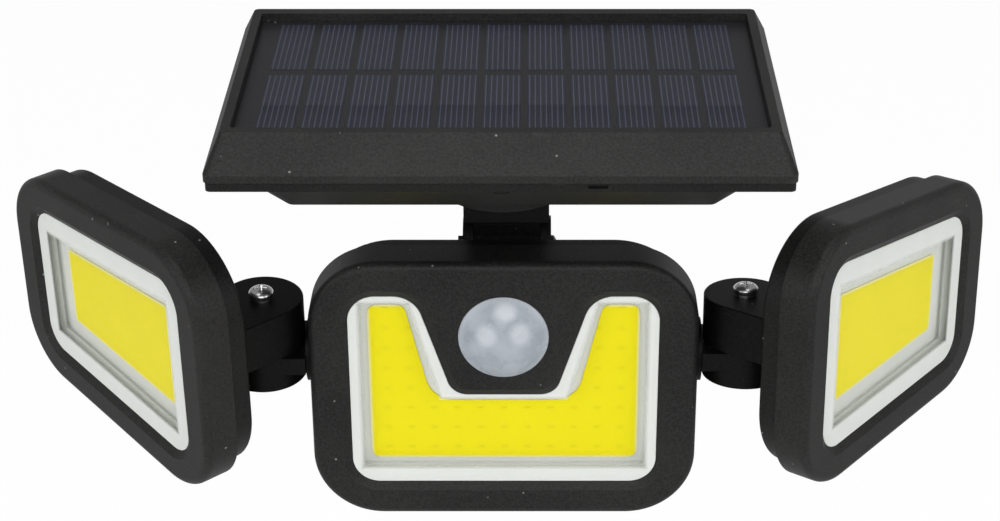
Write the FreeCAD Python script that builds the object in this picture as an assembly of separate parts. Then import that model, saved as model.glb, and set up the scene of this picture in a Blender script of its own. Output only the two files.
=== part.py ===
import FreeCAD, Part
import math
import os

from FreeCAD import Placement, Rotation, Vector

# Outdoor solar light with three lamp heads, a movement sensor and a solar panel on a tilting neck.
# Millimetres. X to the right seen from the front, Y towards the wall, Z up.
# The origin is the centre of the wall plate's back face.

# ---------------------------------------------------------------- clearances
FIT = 0.05              # radial clearance of a pin, screw or shaft in its bore
GAP = 0.3               # clearance between pieces that move past each other
SLIP = 0.15             # clearance of pieces that are laid into each other

# ---------------------------------------------------------------- layout
HEAD_AHEAD = 90.0       # from the wall to the centre head's window plane
HEAD_ABOVE = 31.0       # centre of that window above the wall plate's centre
TILT_AXIS_BEHIND = 36.0     # centre head's tilt axis behind its window plane
NECK_AXIS_BEHIND = 28.0     # panel hinge behind the centre head's window plane
NECK_AXIS_ABOVE = 34.7      # panel hinge above the centre head's middle
ARM_AXIS_BEHIND = 12.0      # arm and knuckle axes behind the centre window plane
ARM_AXIS_ABOVE = 7.9        # arm axis above the centre head's middle
ARM_REACH = 14.6            # knuckle axis outside the centre head's side
PANEL_TILT = 1.9            # degrees, front edge down
LEFT_YAW, RIGHT_YAW = 48.4, 50.7        # degrees, each side head turned outward
LEFT_ROLL, RIGHT_ROLL = 3.5, -4.3       # degrees, each arm turned about the X axis

# ---------------------------------------------------------------- lamp heads
CENTRE_HALF_WIDTH, CENTRE_HALF_HEIGHT = 58.0, 43.2
SIDE_HALF_WIDTH, SIDE_HALF_HEIGHT = 51.3, 38.7
SIDE_FLARE = 0.079      # a side head's top and bottom edges open towards the knuckle
CENTRE_CORNER = 21.0    # outer corner radius
SIDE_CORNER_FAR, SIDE_CORNER_NEAR = 20.5, 21.0      # far from the knuckle, and near it
FACE_PROUD = 1.5        # face in front of the window plane
FACE_EDGE = 2.5         # rounding of the face's outer edge
BEVEL = 2.4             # width of the slope from the face down to the window
CENTRE_RIM_SIDE, SIDE_RIM_SIDE = 11.7, 12.2         # from a head's outer side to its window
RIM_TOP = 11.2          # from its top to the window
WINDOW_CORNER = 8.3
SHELL_WALL = 2.2
CENTRE_SEAM, CENTRE_BACK = 11.5, 18.0   # back of the bezel and of the rear shell
SIDE_SEAM, SIDE_BACK = 9.3, 16.0
REAR_STEP = 1.1         # rear shell inside the bezel's outline
REAR_ROUNDER = 4.0      # added to its corner radii
REAR_EDGE = 1.0         # rounding of the rear shell's back edge
TONGUE_LENGTH, TONGUE_THICK = 2.5, 1.2

LEDGE = 0.6             # lip in front of the window seal
SEAL_THICK = 0.8
LENS_FLANGE_THICK = 1.4
LENS_FLANGE, FLANGE_ROUNDER = 2.0, 2.0       # flange around the window
REFLECTOR_LIP = 0.8     # how far the white frame reaches in over the board
BOARD_DEPTH = 4.0       # front of the LED board behind the window plane
BOARD_THICK = 1.2
GLOW_THICK = 0.6        # yellow phosphor layer
CENTRE_GLOW_IN, CENTRE_GLOW_BELOW, CENTRE_GLOW_ABOVE = 5.7, 4.5, 6.5    # from the window's side, top, bottom
SIDE_GLOW_IN, SIDE_GLOW_BELOW = 11.2, 12.3
CENTRE_GLOW_CORNER, SIDE_GLOW_CORNER = 3.4, 1.6

ISLAND_BOTTOM = -1.2    # the black island around the sensor, within the centre window
ISLAND_HALF_WIDTH = 15.3
ISLAND_SPREAD = 0.33    # widening of its sides per millimetre of height
ISLAND_CORNER = 6.0
ARM_TOP_CORNER = 9.0    # rounding where the window's upright ends meet the island
GLOW_UNDER_ISLAND = 4.0     # the phosphor's notch around the island, below and beside its lower edge
GLOW_BESIDE_ISLAND, GLOW_NOTCH_SPREAD, GLOW_NOTCH_CORNER = 6.5, 0.242, 8.5

POST_RADIUS, POST_INSET, POST_SHORT = 2.5, 10.9, 3.5
CASE_SCREW_RADIUS, CASE_SCREW_HEAD, CASE_SCREW_HEAD_THICK = 1.3, 2.3, 1.7
CASE_SCREW_SINK, CASE_SCREW_BITE = 2.2, 4.5
PILLAR_RADIUS, PILLAR_IN_SIDE, PILLAR_IN_TOP = 2.0, 7.0, 9.0

# ---------------------------------------------------------------- movement sensor
DOME_ABOVE, DOME_RADIUS, DOME_RISE = 19.0, 13.4, 5.2
DOME_WALL, DOME_FLANGE, DOME_FLANGE_THICK = 1.2, 15.0, 1.0
SENSOR_CAN_RADIUS, SENSOR_CAN_HEIGHT, SENSOR_WINDOW = 4.6, 4.2, 2.6
SENSOR_BOARD, SENSOR_BOARD_DEPTH, SENSOR_BOARD_THICK = 12.0, 8.0, 1.6
SENSOR_PILLAR_OUT = 8.5

# ---------------------------------------------------------------- side arms
HUB_RADIUS, HUB_INNER, HUB_LENGTH = 9.6, 7.4, 14.5
BEARING_LENGTH = 6.5
STUB_RADIUS = 4.0
CLIP_RADIUS, CLIP_THICK, CLIP_GROOVE, STUB_BEYOND = 6.4, 1.0, 0.8, 1.6
FLANGE_THICK, FLANGE_OFF = 1.2, 0.2
BAR_HALF_DEPTH, BAR_LOW, BAR_HIGH = 11.0, -2.5, 3.2
KNUCKLE_RADIUS, KNUCKLE_EDGE = 12.5, 0.6
KNUCKLE_LOW, KNUCKLE_SPLIT, KNUCKLE_TOP = -8.0, 3.2, 18.2   # heights from the arm axis
AXIS_IN, AXIS_BEHIND = 35.8, 31.5       # knuckle axis in a side head: towards the centre, behind the window
SIDE_WINDOW_ABOVE = 5.2                 # side window's centre above the arm axis
KNUCKLE_SCREW_RADIUS, SCREW_HEAD_RADIUS, SCREW_HEAD_RISE = 2.0, 3.75, 2.7
SCREW_TIP = 1.6                         # screw end below the lower knuckle
SPRING_WASHER, SPRING_WASHER_THICK = 3.5, 0.6
NUT_FLATS, NUT_THICK = 7.0, 3.0

# ---------------------------------------------------------------- wall side
PLATE_SIZE, PLATE_THICK, PLATE_CORNER = 72.0, 4.0, 8.0
WALL_HOLE_SPACING, WALL_HOLE_RADIUS = 56.0, 2.3
WALL_HOLE_SINK_RADIUS, WALL_HOLE_SINK = 4.6, 2.0
PAD_HALF_WIDTH, PAD_THICK, PAD_LOW, PAD_HIGH, PAD_CORNER, PAD_EDGE = 22.0, 12.0, -16.0, 34.0, 5.0, 2.0
PLATE_EDGE, PLATE_SCREW_SPACING, PLATE_SCREW_SHORT = 0.8, 28.0, 2.0
KNEE_BEHIND, KNEE_HALF_HEIGHT, KNEE_FOOT, KNEE_BACK, KNEE_CORNER = 14.0, 12.0, 6.0, 18.0, 2.5
TONGUE_ROOT = 10.0      # radius of the tongue's and ears' roots in the bracket's knee
EAR_ROOT_BEHIND, EAR_ROOT_ABOVE, EAR_ROOT_RADIUS = 22.0, 6.0, 7.0
HINGE_SIDE = 0.9        # the panel hinge lies this far to the right of the middle
EAR_OUT, EAR_THICK, EAR_RADIUS = 13.3, 3.2, 9.3
LUG_THICK, LUG_RADIUS, LUG_ROOT_RADIUS = 4.0, 8.0, 11.0
HINGE_BOLT_RADIUS, HINGE_HEAD_RADIUS, HINGE_HEAD_RISE = 1.75, 3.3, 2.0
HINGE_NUT_FLATS, HINGE_NUT_THICK, HINGE_BOLT_BEYOND = 6.0, 1.6, 0.2
WEB_BEHIND, WEB_THICK, WEB_LOW, WEB_HIGH = 1.5, 2.5, -8.0, 3.0      # web between the ears, behind the neck

# ---------------------------------------------------------------- neck and panel
PANEL_RISE, PANEL_FORWARD = 61.9, 6.0       # panel's top frame from the hinge, square to the panel
SLOPE_SIDE, SLOPE_FRONT, SLOPE_REAR, PANEL_CORNER = 3.8, 10.7, 5.6, 1.5    # frame top inside the rim
RIM_HALF_WIDTH, RIM_FRONT, RIM_REAR, RIM_CORNER = 80.3, 54.9, 49.8, 2.0
RIM_DROP, SEAM_DROP, RIM_LOW = 8.0, 10.2, 12.9
FRAME_SIDE, FRAME_FRONT, FRAME_REAR, RECESS_DEPTH, RECESS_CORNER = 2.6, 3.1, 3.7, 2.2, 1.0
COVER_THICK, CELL_THICK, BACKING_THICK, FRAME_FLOOR = 0.6, 0.2, 0.8, 1.4
CELL_PITCH, CELL_WIDTH, CELL_SIDE = 12.5, 10.6, 5.0
CELL_FRONT, CELL_REAR, CELL_MIDDLE, CELL_MIDDLE_GAP = 4.0, 2.3, 2.55, 4.1
PANEL_WALL, RIM_WALL_KNEE = 2.0, 0.4
TRAY_TONGUE_RISE, TRAY_TONGUE_THICK = 1.4, 1.4
PANEL_SEAL_THICK, PANEL_SEAL_IN, PANEL_SEAL_WIDTH = 0.3, 0.6, 1.3
LOWER_STEP = 0.45       # tray's rim inside the frame's rim
TRAY_SIDE, TRAY_FRONT, TRAY_REAR, TRAY_RUN, TRAY_LOW = 4.9, 3.6, 5.0, 14.8, 26.0     # inside the rim, and run
TRAY_WALL, TRAY_CORNER = 1.8, 2.5
BOSS_RADIUS, BOSS_AHEAD, BOSS_LOW, BOSS_EDGE = 19.8, 4.7, 34.9, 0.7
RIM_SLOT_X, RIM_SLOT_LENGTH, RIM_SLOT_HEIGHT, RIM_SLOT_DEPTH = 26.3, 5.4, 1.0, 1.0
RIM_POST_SIDE, RIM_POST_FRONT, RIM_POST_REAR = 16.3, 7.3, 8.3
RIM_POST_END, RIM_BOSS_RADIUS, RIM_SCREW_BITE = 9.6, 4.4, 3.0
BATTERY_RADIUS, BATTERY_LENGTH, BATTERY_FROM_REAR, BATTERY_LIFT = 9.1, 65.0, 33.8, 0.4
BATTERY_TIP_RADIUS, BATTERY_TIP, LEAD_HOLE = 2.8, 1.5, 2.5
HOLDER_HALF_DEPTH, HOLDER_HIGH, HOLDER_END = 10.4, 7.0, 2.0
CHARGE_LEFT, CHARGE_LENGTH, CHARGE_FROM_FRONT, CHARGE_DEPTH = -54.0, 76.0, 22.9, 18.0
CHARGE_LIFT, CHARGE_THICK, CHARGE_POST_RADIUS, CHARGE_POST_INSET = 2.7, 1.6, 2.0, 2.5
CHIP_LENGTH, CHIP_DEPTH, CHIP_HEIGHT, CHIP_PITCH = 7.0, 6.0, 2.5, 18.0
BUTTON_IN, BUTTON_RADIUS, BUTTON_PROUD, BUTTON_TRAVEL, BUTTON_EDGE = 10.0, 5.5, 1.2, 1.0, 0.5
BUTTON_FLANGE, BUTTON_FLANGE_THICK, SWITCH_HALF = 7.0, 0.8, 3.0
SWIVEL_SCREW_RADIUS, SWIVEL_HEAD_RADIUS, SWIVEL_HEAD_RISE = 2.45, 4.2, 2.8
SWIVEL_NUT_FLATS, SWIVEL_NUT_THICK, SWIVEL_NUT_DOWN, SWIVEL_TIP = 8.0, 3.4, 10.0, 1.0
SWIVEL_WASHER, NECK_DISC_RADIUS, NECK_DISC_THICK = 11.0, 11.5, 3.4
BLOCK_FRONT, BLOCK_DEEP, BLOCK_CORNER = 17.0, 10.2, 0.8     # block's front, and how far it reaches down
STEM_FRONT, STEM_REAR, STEM_TOP, STEM_TAPER = 6.0, 7.0, 12.0, 2.0
SHOULDER_HALF_WIDTH, SHOULDER_LOW = 12.6, 10.1      # the wide part above the ears


# ---------------------------------------------------------------- helpers
class Outline:
    """A closed flat outline: corners listed anticlockwise, each with its own rounding radius."""

    def __init__(self, corners, radii):
        self.corners = corners
        self.radii = radii if isinstance(radii, list) else [radii] * len(corners)

    def grown(self, by):
        """The outline moved outward by a distance. Outer corners get rounder and inner ones sharper."""
        corners, radii = [], []
        for i, (x, y) in enumerate(self.corners):
            before = self.corners[i - 1]
            after = self.corners[(i + 1) % len(self.corners)]
            ax, ay = unit(x - before[0], y - before[1])
            bx, by_ = unit(after[0] - x, after[1] - y)
            spread = by / (1 + ax * bx + ay * by_)
            corners.append((x + spread * (ay + by_), y - spread * (ax + bx)))
            turn = ax * by_ - ay * bx
            radii.append(max(self.radii[i] + (by if turn > 0 else -by), 0.2))
        return Outline(corners, radii)

    def rounder(self, by):
        """The same outline with larger corner radii."""
        return Outline(self.corners, [radius + by for radius in self.radii])

    def wire(self, point):
        """The rounded outline as a wire; point turns the two flat values into a place in space."""
        edges, ends = [], []
        for i, (x, y) in enumerate(self.corners):
            before = self.corners[i - 1]
            after = self.corners[(i + 1) % len(self.corners)]
            ux, uy = unit(before[0] - x, before[1] - y)
            wx, wy = unit(after[0] - x, after[1] - y)
            half = math.acos(ux * wx + uy * wy) / 2
            reach = self.radii[i] / math.tan(half)
            mx, my = unit(ux + wx, uy + wy)
            middle = self.radii[i] / math.sin(half) - self.radii[i]
            start = point(x + ux * reach, y + uy * reach)
            end = point(x + wx * reach, y + wy * reach)
            edges.append(Part.Arc(start, point(x + mx * middle, y + my * middle), end).toShape())
            ends.append((start, end))
        joined = []
        for i, arc in enumerate(edges):
            joined.append(arc)
            leave, arrive = ends[i][1], ends[(i + 1) % len(ends)][0]
            joined.append(Part.LineSegment(leave, arrive).toShape())
        return Part.Wire(joined)


def unit(x, y):
    length = math.hypot(x, y)
    return x / length, y / length


def upright_plate(shape, front, back):
    """An outline in X and Z made solid between two depths along Y."""
    face = Part.Face(shape.wire(lambda x, z: Vector(x, front, z)))
    return face.extrude(Vector(0, back - front, 0))


def upright_slope(first, front, second, back):
    """A solid between one outline at the front and a matching one at the back."""
    wires = [first.wire(lambda x, z: Vector(x, front, z)), second.wire(lambda x, z: Vector(x, back, z))]
    return Part.makeLoft(wires, True, True)


def flat_plate(shape, low, high):
    """An outline in X and Y made solid between two heights."""
    face = Part.Face(shape.wire(lambda x, y: Vector(x, y, low)))
    return face.extrude(Vector(0, 0, high - low))


def flat_slope(first, low, second, high):
    """A solid between one outline at the bottom and a matching one at the top."""
    wires = [first.wire(lambda x, y: Vector(x, y, low)), second.wire(lambda x, y: Vector(x, y, high))]
    return Part.makeLoft(wires, True, True)


def side_plate(shape, left, right):
    """An outline in Y and Z made solid between two values of X."""
    face = Part.Face(shape.wire(lambda y, z: Vector(left, y, z)))
    return face.extrude(Vector(right - left, 0, 0))


def rectangle(left, right, low, high, radius):
    return Outline([(left, low), (right, low), (right, high), (left, high)], radius)


def block(x, y, z):
    """A box; each argument is a pair of values."""
    return Part.makeBox(x[1] - x[0], y[1] - y[0], z[1] - z[0], Vector(x[0], y[0], z[0]))


def rod(radius, start, end):
    axis = Vector(*end) - Vector(*start)
    return Part.makeCylinder(radius, axis.Length, Vector(*start), axis)


def tube(outer, inner, start, end):
    return rod(outer, start, end).cut(rod(inner, start, end))


def joined(shapes):
    """The shapes fused into one solid with no leftover seams."""
    first, rest = shapes[0], shapes[1:]
    return first.fuse(rest).removeSplitter()


def link(ay, az, a_radius, by, bz, b_radius, left, right):
    """A plate shaped like a chain link in Y and Z: two round ends joined by their tangents."""
    length = math.hypot(by - ay, bz - az)
    along = math.atan2(bz - az, by - ay)
    lean = math.acos((a_radius - b_radius) / length)
    corners = []
    for angle, (y, z, radius) in ((along - lean, (ay, az, a_radius)), (along - lean, (by, bz, b_radius)),
                                  (along + lean, (by, bz, b_radius)), (along + lean, (ay, az, a_radius))):
        corners.append(Vector(left, y + radius * math.cos(angle), z + radius * math.sin(angle)))
    tail = Vector(left, ay - a_radius * math.cos(along), az - a_radius * math.sin(along))
    nose = Vector(left, by + b_radius * math.cos(along), bz + b_radius * math.sin(along))
    edges = [
        Part.LineSegment(corners[0], corners[1]).toShape(),
        Part.Arc(corners[1], nose, corners[2]).toShape(),
        Part.LineSegment(corners[2], corners[3]).toShape(),
        Part.Arc(corners[3], tail, corners[0]).toShape(),
    ]
    return Part.Face(Part.Wire(edges)).extrude(Vector(right - left, 0, 0))


def towards(shape, direction, place):
    """Turns a piece built along +Z towards a direction and moves it to its place."""
    turn = Rotation(Vector(0, 0, 1), Vector(*direction))
    return shape.transformed(Placement(Vector(*place), turn).toMatrix())


def screw(shank, length, head_radius, head_rise, taper_tip=True):
    """A domed screw along Z: the head stands on Z = 0, the shank hangs below, a cross is cut on top."""
    arch = head_rise * 0.6
    dome = (head_radius ** 2 + arch ** 2) / (2 * arch)
    ball = Part.makeSphere(dome, Vector(0, 0, head_rise - dome))
    head = ball.common(rod(head_radius, (0, 0, 0), (0, 0, head_rise)))
    tip = shank * 0.8 if taper_tip else 0
    body = rod(shank, (0, 0, tip - length), (0, 0, 0))
    if taper_tip:
        body = body.fuse(Part.makeCone(shank * 0.5, shank, tip, Vector(0, 0, -length)))
    reach, half, sink = head_radius * 0.55, head_radius * 0.13, head_rise * 0.6
    bars = [block((-reach, reach), (-half, half), (head_rise - sink, head_rise + 1)),
            block((-half, half), (-reach, reach), (head_rise - sink, head_rise + 1))]
    return joined([head, body]).cut(joined(bars))


def nut(flats, bore, thick):
    """A hexagon nut along Z, standing on Z = 0."""
    return hexagon(flats, thick).cut(rod(bore, (0, 0, 0), (0, 0, thick)))


def hexagon(flats, height):
    radius = flats / math.sqrt(3)
    corners = [Vector(radius * math.cos(math.radians(a)), radius * math.sin(math.radians(a)), 0)
               for a in range(0, 361, 60)]
    return Part.Face(Part.makePolygon(corners)).extrude(Vector(0, 0, height))


def edges_at_depth(solid, depth):
    """The edges that lie in one upright plane, at a depth along Y."""
    return [e for e in solid.Edges
            if abs(e.BoundBox.YMin - depth) < 0.01 and abs(e.BoundBox.YMax - depth) < 0.01]


def mirrored(shape):
    return shape.mirror(Vector(0, 0, 0), Vector(1, 0, 0))


# ---------------------------------------------------------------- the three lamp heads
class Head:
    """The sizes of one lamp head in its own frame: window plane at Y = 0, window centre at X = Z = 0."""

    def __init__(self, half_width, half_height, rim_side, flare, corner, seam, back):
        self.half_width, self.half_height, self.flare = half_width, half_height, flare
        self.seam, self.back, self.rim_side = seam, back, rim_side
        self.body = self.four_sided(half_width, half_height, corner)
        self.window_half_width = half_width - rim_side
        self.window_half_height = half_height - RIM_TOP
        self.window = self.four_sided(self.window_half_width, self.window_half_height, WINDOW_CORNER)
        self.flange = self.window.grown(LENS_FLANGE).rounder(FLANGE_ROUNDER)
        self.glow = self.four_sided(self.window_half_width - SIDE_GLOW_IN,
                                    self.window_half_height - SIDE_GLOW_BELOW, SIDE_GLOW_CORNER)
        self.post_end = seam - POST_SHORT

    def four_sided(self, half_width, half_height, radius):
        small = half_height - self.flare * half_width
        large = half_height + self.flare * half_width
        return Outline([(-half_width, -small), (half_width, -large), (half_width, large),
                        (-half_width, small)], radius)

    def spots(self, in_side, in_top):
        """Four places near the corners, given by their distances from the body's sides."""
        places = []
        for side in (-1, 1):
            x = side * (self.half_width - in_side)
            for upper in (-1, 1):
                places.append((x, upper * (self.half_height + self.flare * x - in_top)))
        return places

    def posts(self):
        return self.spots(POST_INSET, POST_INSET - 0.3)

    def pillars(self):
        return self.spots(self.rim_side + PILLAR_IN_SIDE, RIM_TOP + PILLAR_IN_TOP)


def u_outline(side, top, bottom, notch, corners):
    """A wide U. The notch gives its half width, height and radius at its lower edge, and its spread.

    The corners are the radii at the U's bottom, at the outer tops and at the inner tops.
    """
    half_width, low, corner, spread = notch
    upper = half_width + spread * (top - low)
    points = [(-side, bottom), (side, bottom), (side, top), (upper, top),
              (half_width, low), (-half_width, low), (-upper, top), (-side, top)]
    foot, outer, inner = corners
    return Outline(points, [foot, foot, outer, inner, corner, corner, inner, outer])


def centre_head_sizes():
    head = Head(CENTRE_HALF_WIDTH, CENTRE_HALF_HEIGHT, CENTRE_RIM_SIDE, 0.0, CENTRE_CORNER, CENTRE_SEAM,
                CENTRE_BACK)
    side, top = head.window_half_width, head.window_half_height
    head.window = u_outline(side, top, -top,
                            (ISLAND_HALF_WIDTH, ISLAND_BOTTOM, ISLAND_CORNER, ISLAND_SPREAD),
                            (WINDOW_CORNER, WINDOW_CORNER, ARM_TOP_CORNER))
    head.flange = head.window.grown(LENS_FLANGE).rounder(FLANGE_ROUNDER)
    notch_low = ISLAND_BOTTOM - GLOW_UNDER_ISLAND
    notch = (ISLAND_HALF_WIDTH + GLOW_BESIDE_ISLAND, notch_low, GLOW_NOTCH_CORNER, GLOW_NOTCH_SPREAD)
    head.glow = u_outline(side - CENTRE_GLOW_IN, top - CENTRE_GLOW_BELOW, CENTRE_GLOW_ABOVE - top, notch,
                          (CENTRE_GLOW_CORNER, CENTRE_GLOW_CORNER, CENTRE_GLOW_CORNER))
    return head


def side_head_sizes():
    far, near = SIDE_CORNER_FAR, SIDE_CORNER_NEAR
    return Head(SIDE_HALF_WIDTH, SIDE_HALF_HEIGHT, SIDE_RIM_SIDE, SIDE_FLARE, [far, near, near, far],
                SIDE_SEAM, SIDE_BACK)


def bezel(head):
    """Front shell: face, rounded edge, sloped window surround, side walls and four screw posts."""
    outer = upright_plate(head.body, -FACE_PROUD, head.seam)
    outer = outer.makeFillet(FACE_EDGE, edges_at_depth(outer, -FACE_PROUD))
    hollow = upright_plate(head.body.grown(-SHELL_WALL), LEDGE, head.seam)
    slope = upright_slope(head.window.grown(BEVEL), -FACE_PROUD, head.window, 0)
    opening = upright_plate(head.window, 0, LEDGE)
    shell = outer.cut(hollow).cut(slope).cut(opening)
    posts = [rod(POST_RADIUS, (x, LEDGE, z), (x, head.post_end, z)) for x, z in head.posts()]
    pilots = [rod(CASE_SCREW_RADIUS + FIT, (x, screw_end(head) - FIT, z), (x, head.post_end, z))
              for x, z in head.posts()]
    return joined([shell] + posts).cut(pilots)


def screw_end(head):
    return head.post_end - CASE_SCREW_BITE


def rear_shell(head, additions=(), hollows=(), late=()):
    """Back shell with a tongue inside the bezel, screw bosses and pillars that hold the LED board."""
    inside = head.body.grown(-REAR_STEP).rounder(REAR_ROUNDER)
    outer = upright_plate(inside, head.seam, head.back)
    outer = outer.makeFillet(REAR_EDGE, edges_at_depth(outer, head.back))
    if additions:
        outer = outer.fuse(list(additions))
    hollow = upright_plate(inside.grown(-SHELL_WALL), head.seam, head.back - SHELL_WALL)
    shell = outer.cut([hollow] + list(hollows))
    rim = head.body.grown(-SHELL_WALL - SLIP)
    tongue_front = head.seam - TONGUE_LENGTH
    tongue = upright_plate(rim, tongue_front, head.seam)
    tongue = tongue.cut(upright_plate(rim.grown(-TONGUE_THICK), tongue_front, head.seam))
    within = upright_plate(rim, head.post_end, head.back)
    bosses = [rod(POST_RADIUS, (x, head.post_end, z), (x, head.back - 1, z)).common(within)
              for x, z in head.posts()]
    pillars = [rod(PILLAR_RADIUS, (x, BOARD_DEPTH + BOARD_THICK, z), (x, head.back - 1, z))
               for x, z in head.pillars()]
    shell = joined([shell, tongue] + bosses + pillars + list(late))
    holes = []
    for x, z in head.posts():
        holes.append(rod(CASE_SCREW_RADIUS + SLIP, (x, head.post_end, z), (x, head.back, z)))
        seat = head.back - CASE_SCREW_SINK
        holes.append(rod(CASE_SCREW_HEAD + SLIP, (x, seat, z), (x, head.back, z)))
    return shell.cut(holes)


def case_screws(head):
    """Four screws from the back, their heads sunk in the rear shell."""
    seat = head.back - CASE_SCREW_SINK
    one = screw(CASE_SCREW_RADIUS, seat - screw_end(head), CASE_SCREW_HEAD, CASE_SCREW_HEAD_THICK)
    return Part.makeCompound([towards(one, (0, 1, 0), (x, seat, z)) for x, z in head.posts()])


def lens(head):
    """Clear window: a pad that fills the opening on a flange that lies behind the seal."""
    back = LEDGE + SEAL_THICK
    pad = upright_plate(head.window.grown(-SLIP), 0, back)
    flange = upright_plate(head.flange, back, back + LENS_FLANGE_THICK)
    return joined([pad, flange])


def seal(head):
    ring = upright_plate(head.flange, LEDGE, LEDGE + SEAL_THICK)
    return ring.cut(upright_plate(head.window.grown(2 * SLIP), LEDGE, LEDGE + SEAL_THICK))


def reflector(head):
    """White frame between the lens and the LED board."""
    front = LEDGE + SEAL_THICK + LENS_FLANGE_THICK
    frame = upright_plate(head.flange, front, BOARD_DEPTH)
    return frame.cut(upright_plate(head.window.grown(-REFLECTOR_LIP), front, BOARD_DEPTH))


def led_board(head):
    return upright_plate(head.flange, BOARD_DEPTH, BOARD_DEPTH + BOARD_THICK)


def phosphor(head):
    return upright_plate(head.glow, BOARD_DEPTH - GLOW_THICK, BOARD_DEPTH)


def head_pieces(head, name, bezel_shape, rear_shape):
    return {
        name + "_bezel": bezel_shape,
        name + "_rear_shell": rear_shape,
        name + "_lens": lens(head),
        name + "_lens_seal": seal(head),
        name + "_reflector": reflector(head),
        name + "_led_board": led_board(head),
        name + "_phosphor": phosphor(head),
        name + "_case_screws": case_screws(head),
    }


# ---------------------------------------------------------------- centre head with the sensor
def hub_rods(radius, inner_end, outer_end):
    """A round shape on each side of the centre head, about the arms' axis."""
    y, z = ARM_AXIS_BEHIND, ARM_AXIS_ABOVE
    return [rod(radius, (side * inner_end, y, z), (side * outer_end, y, z)) for side in (-1, 1)]


def tilt_lugs():
    """Two lugs on the back of the centre head for its tilt bolt."""
    lugs = []
    for side in (-1, 1):
        inner, outer = side * (EAR_OUT - LUG_THICK), side * EAR_OUT
        lug = link(CENTRE_BACK, 0, LUG_ROOT_RADIUS, TILT_AXIS_BEHIND, 0, LUG_RADIUS,
                   min(inner, outer), max(inner, outer))
        inside = block((-EAR_OUT, EAR_OUT), (CENTRE_BACK - LUG_ROOT_RADIUS, CENTRE_BACK - SHELL_WALL),
                       (-LUG_ROOT_RADIUS, LUG_ROOT_RADIUS))
        lugs.append(lug.cut(inside))
    return lugs


def centre_pieces():
    head = centre_head_sizes()
    side = CENTRE_HALF_WIDTH
    notch = hub_rods(HUB_RADIUS + SLIP, side - HUB_LENGTH, side)
    hole = rod(DOME_RADIUS + SLIP, (0, -FACE_PROUD, DOME_ABOVE), (0, LEDGE, DOME_ABOVE))
    front = bezel(head).cut(notch + [hole])

    bearing_end = side - BEARING_LENGTH
    hub_end = side - HUB_LENGTH
    behind = block((-side, side), (CENTRE_SEAM, CENTRE_BACK + 2 * HUB_RADIUS), (-HUB_RADIUS, 3 * HUB_RADIUS))
    bulges = [r.common(behind) for r in hub_rods(HUB_RADIUS, hub_end, side)]
    bearings = hub_rods(HUB_RADIUS, bearing_end, side)
    pillars = []
    for x in (-SENSOR_PILLAR_OUT, SENSOR_PILLAR_OUT):
        for z in (DOME_ABOVE - SENSOR_PILLAR_OUT, DOME_ABOVE + SENSOR_PILLAR_OUT):
            start = SENSOR_BOARD_DEPTH + SENSOR_BOARD_THICK
            pillars.append(rod(PILLAR_RADIUS, (x, start, z), (x, CENTRE_BACK - 1, z)))
    back = rear_shell(head, additions=bulges + tilt_lugs(),
                      hollows=hub_rods(HUB_INNER, hub_end + SHELL_WALL, bearing_end),
                      late=bearings + pillars)
    back = back.cut(hub_rods(STUB_RADIUS + FIT, bearing_end - 1, side + 1))
    bolt_hole = rod(HINGE_BOLT_RADIUS + FIT, (-EAR_OUT, TILT_AXIS_BEHIND, 0), (EAR_OUT, TILT_AXIS_BEHIND, 0))
    back = back.cut(bolt_hole)

    pieces = head_pieces(head, "centre", front, back)
    pieces["sensor_dome"] = sensor_dome()
    pieces["sensor_can"] = sensor_can()
    half = SENSOR_BOARD
    pieces["sensor_board"] = block((-half, half),
                                   (SENSOR_BOARD_DEPTH, SENSOR_BOARD_DEPTH + SENSOR_BOARD_THICK),
                                   (DOME_ABOVE - half, DOME_ABOVE + half))
    return pieces


def sensor_dome():
    """Shallow domed cap with a flange behind the face."""
    ball_radius = (DOME_RADIUS ** 2 + DOME_RISE ** 2) / (2 * DOME_RISE)
    centre = Vector(0, ball_radius - DOME_RISE - FACE_PROUD, DOME_ABOVE)
    back = LEDGE + DOME_FLANGE_THICK
    front = -FACE_PROUD - DOME_RISE - 1
    outside = Part.makeSphere(ball_radius, centre)
    outside = outside.common(rod(DOME_RADIUS, (0, front, DOME_ABOVE), (0, back, DOME_ABOVE)))
    inside = Part.makeSphere(ball_radius - DOME_WALL, centre)
    inside = inside.common(rod(DOME_RADIUS - DOME_WALL, (0, front, DOME_ABOVE), (0, back, DOME_ABOVE)))
    flange = tube(DOME_FLANGE, DOME_RADIUS - DOME_WALL, (0, LEDGE, DOME_ABOVE), (0, back, DOME_ABOVE))
    return joined([outside.cut(inside), flange])


def sensor_can():
    """Round metal can of the heat sensor, with its square window."""
    back = SENSOR_BOARD_DEPTH
    front = back - SENSOR_CAN_HEIGHT
    can = rod(SENSOR_CAN_RADIUS, (0, front, DOME_ABOVE), (0, back, DOME_ABOVE))
    half = SENSOR_WINDOW / 2
    return can.cut(block((-half, half), (front, front + 0.3), (DOME_ABOVE - half, DOME_ABOVE + half)))


# ---------------------------------------------------------------- side heads and their arms
def knuckle_out():
    """The knuckle axis from the middle of the light."""
    return CENTRE_HALF_WIDTH + ARM_REACH


def side_head_pieces():
    """A left side head in its own frame, its open end towards +X, with the knuckle on its back."""
    head = side_head_sizes()
    pieces = head_pieces(head, "head", bezel(head), rear_shell(head))
    pieces["head_knuckle"] = head_knuckle()
    return pieces


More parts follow.
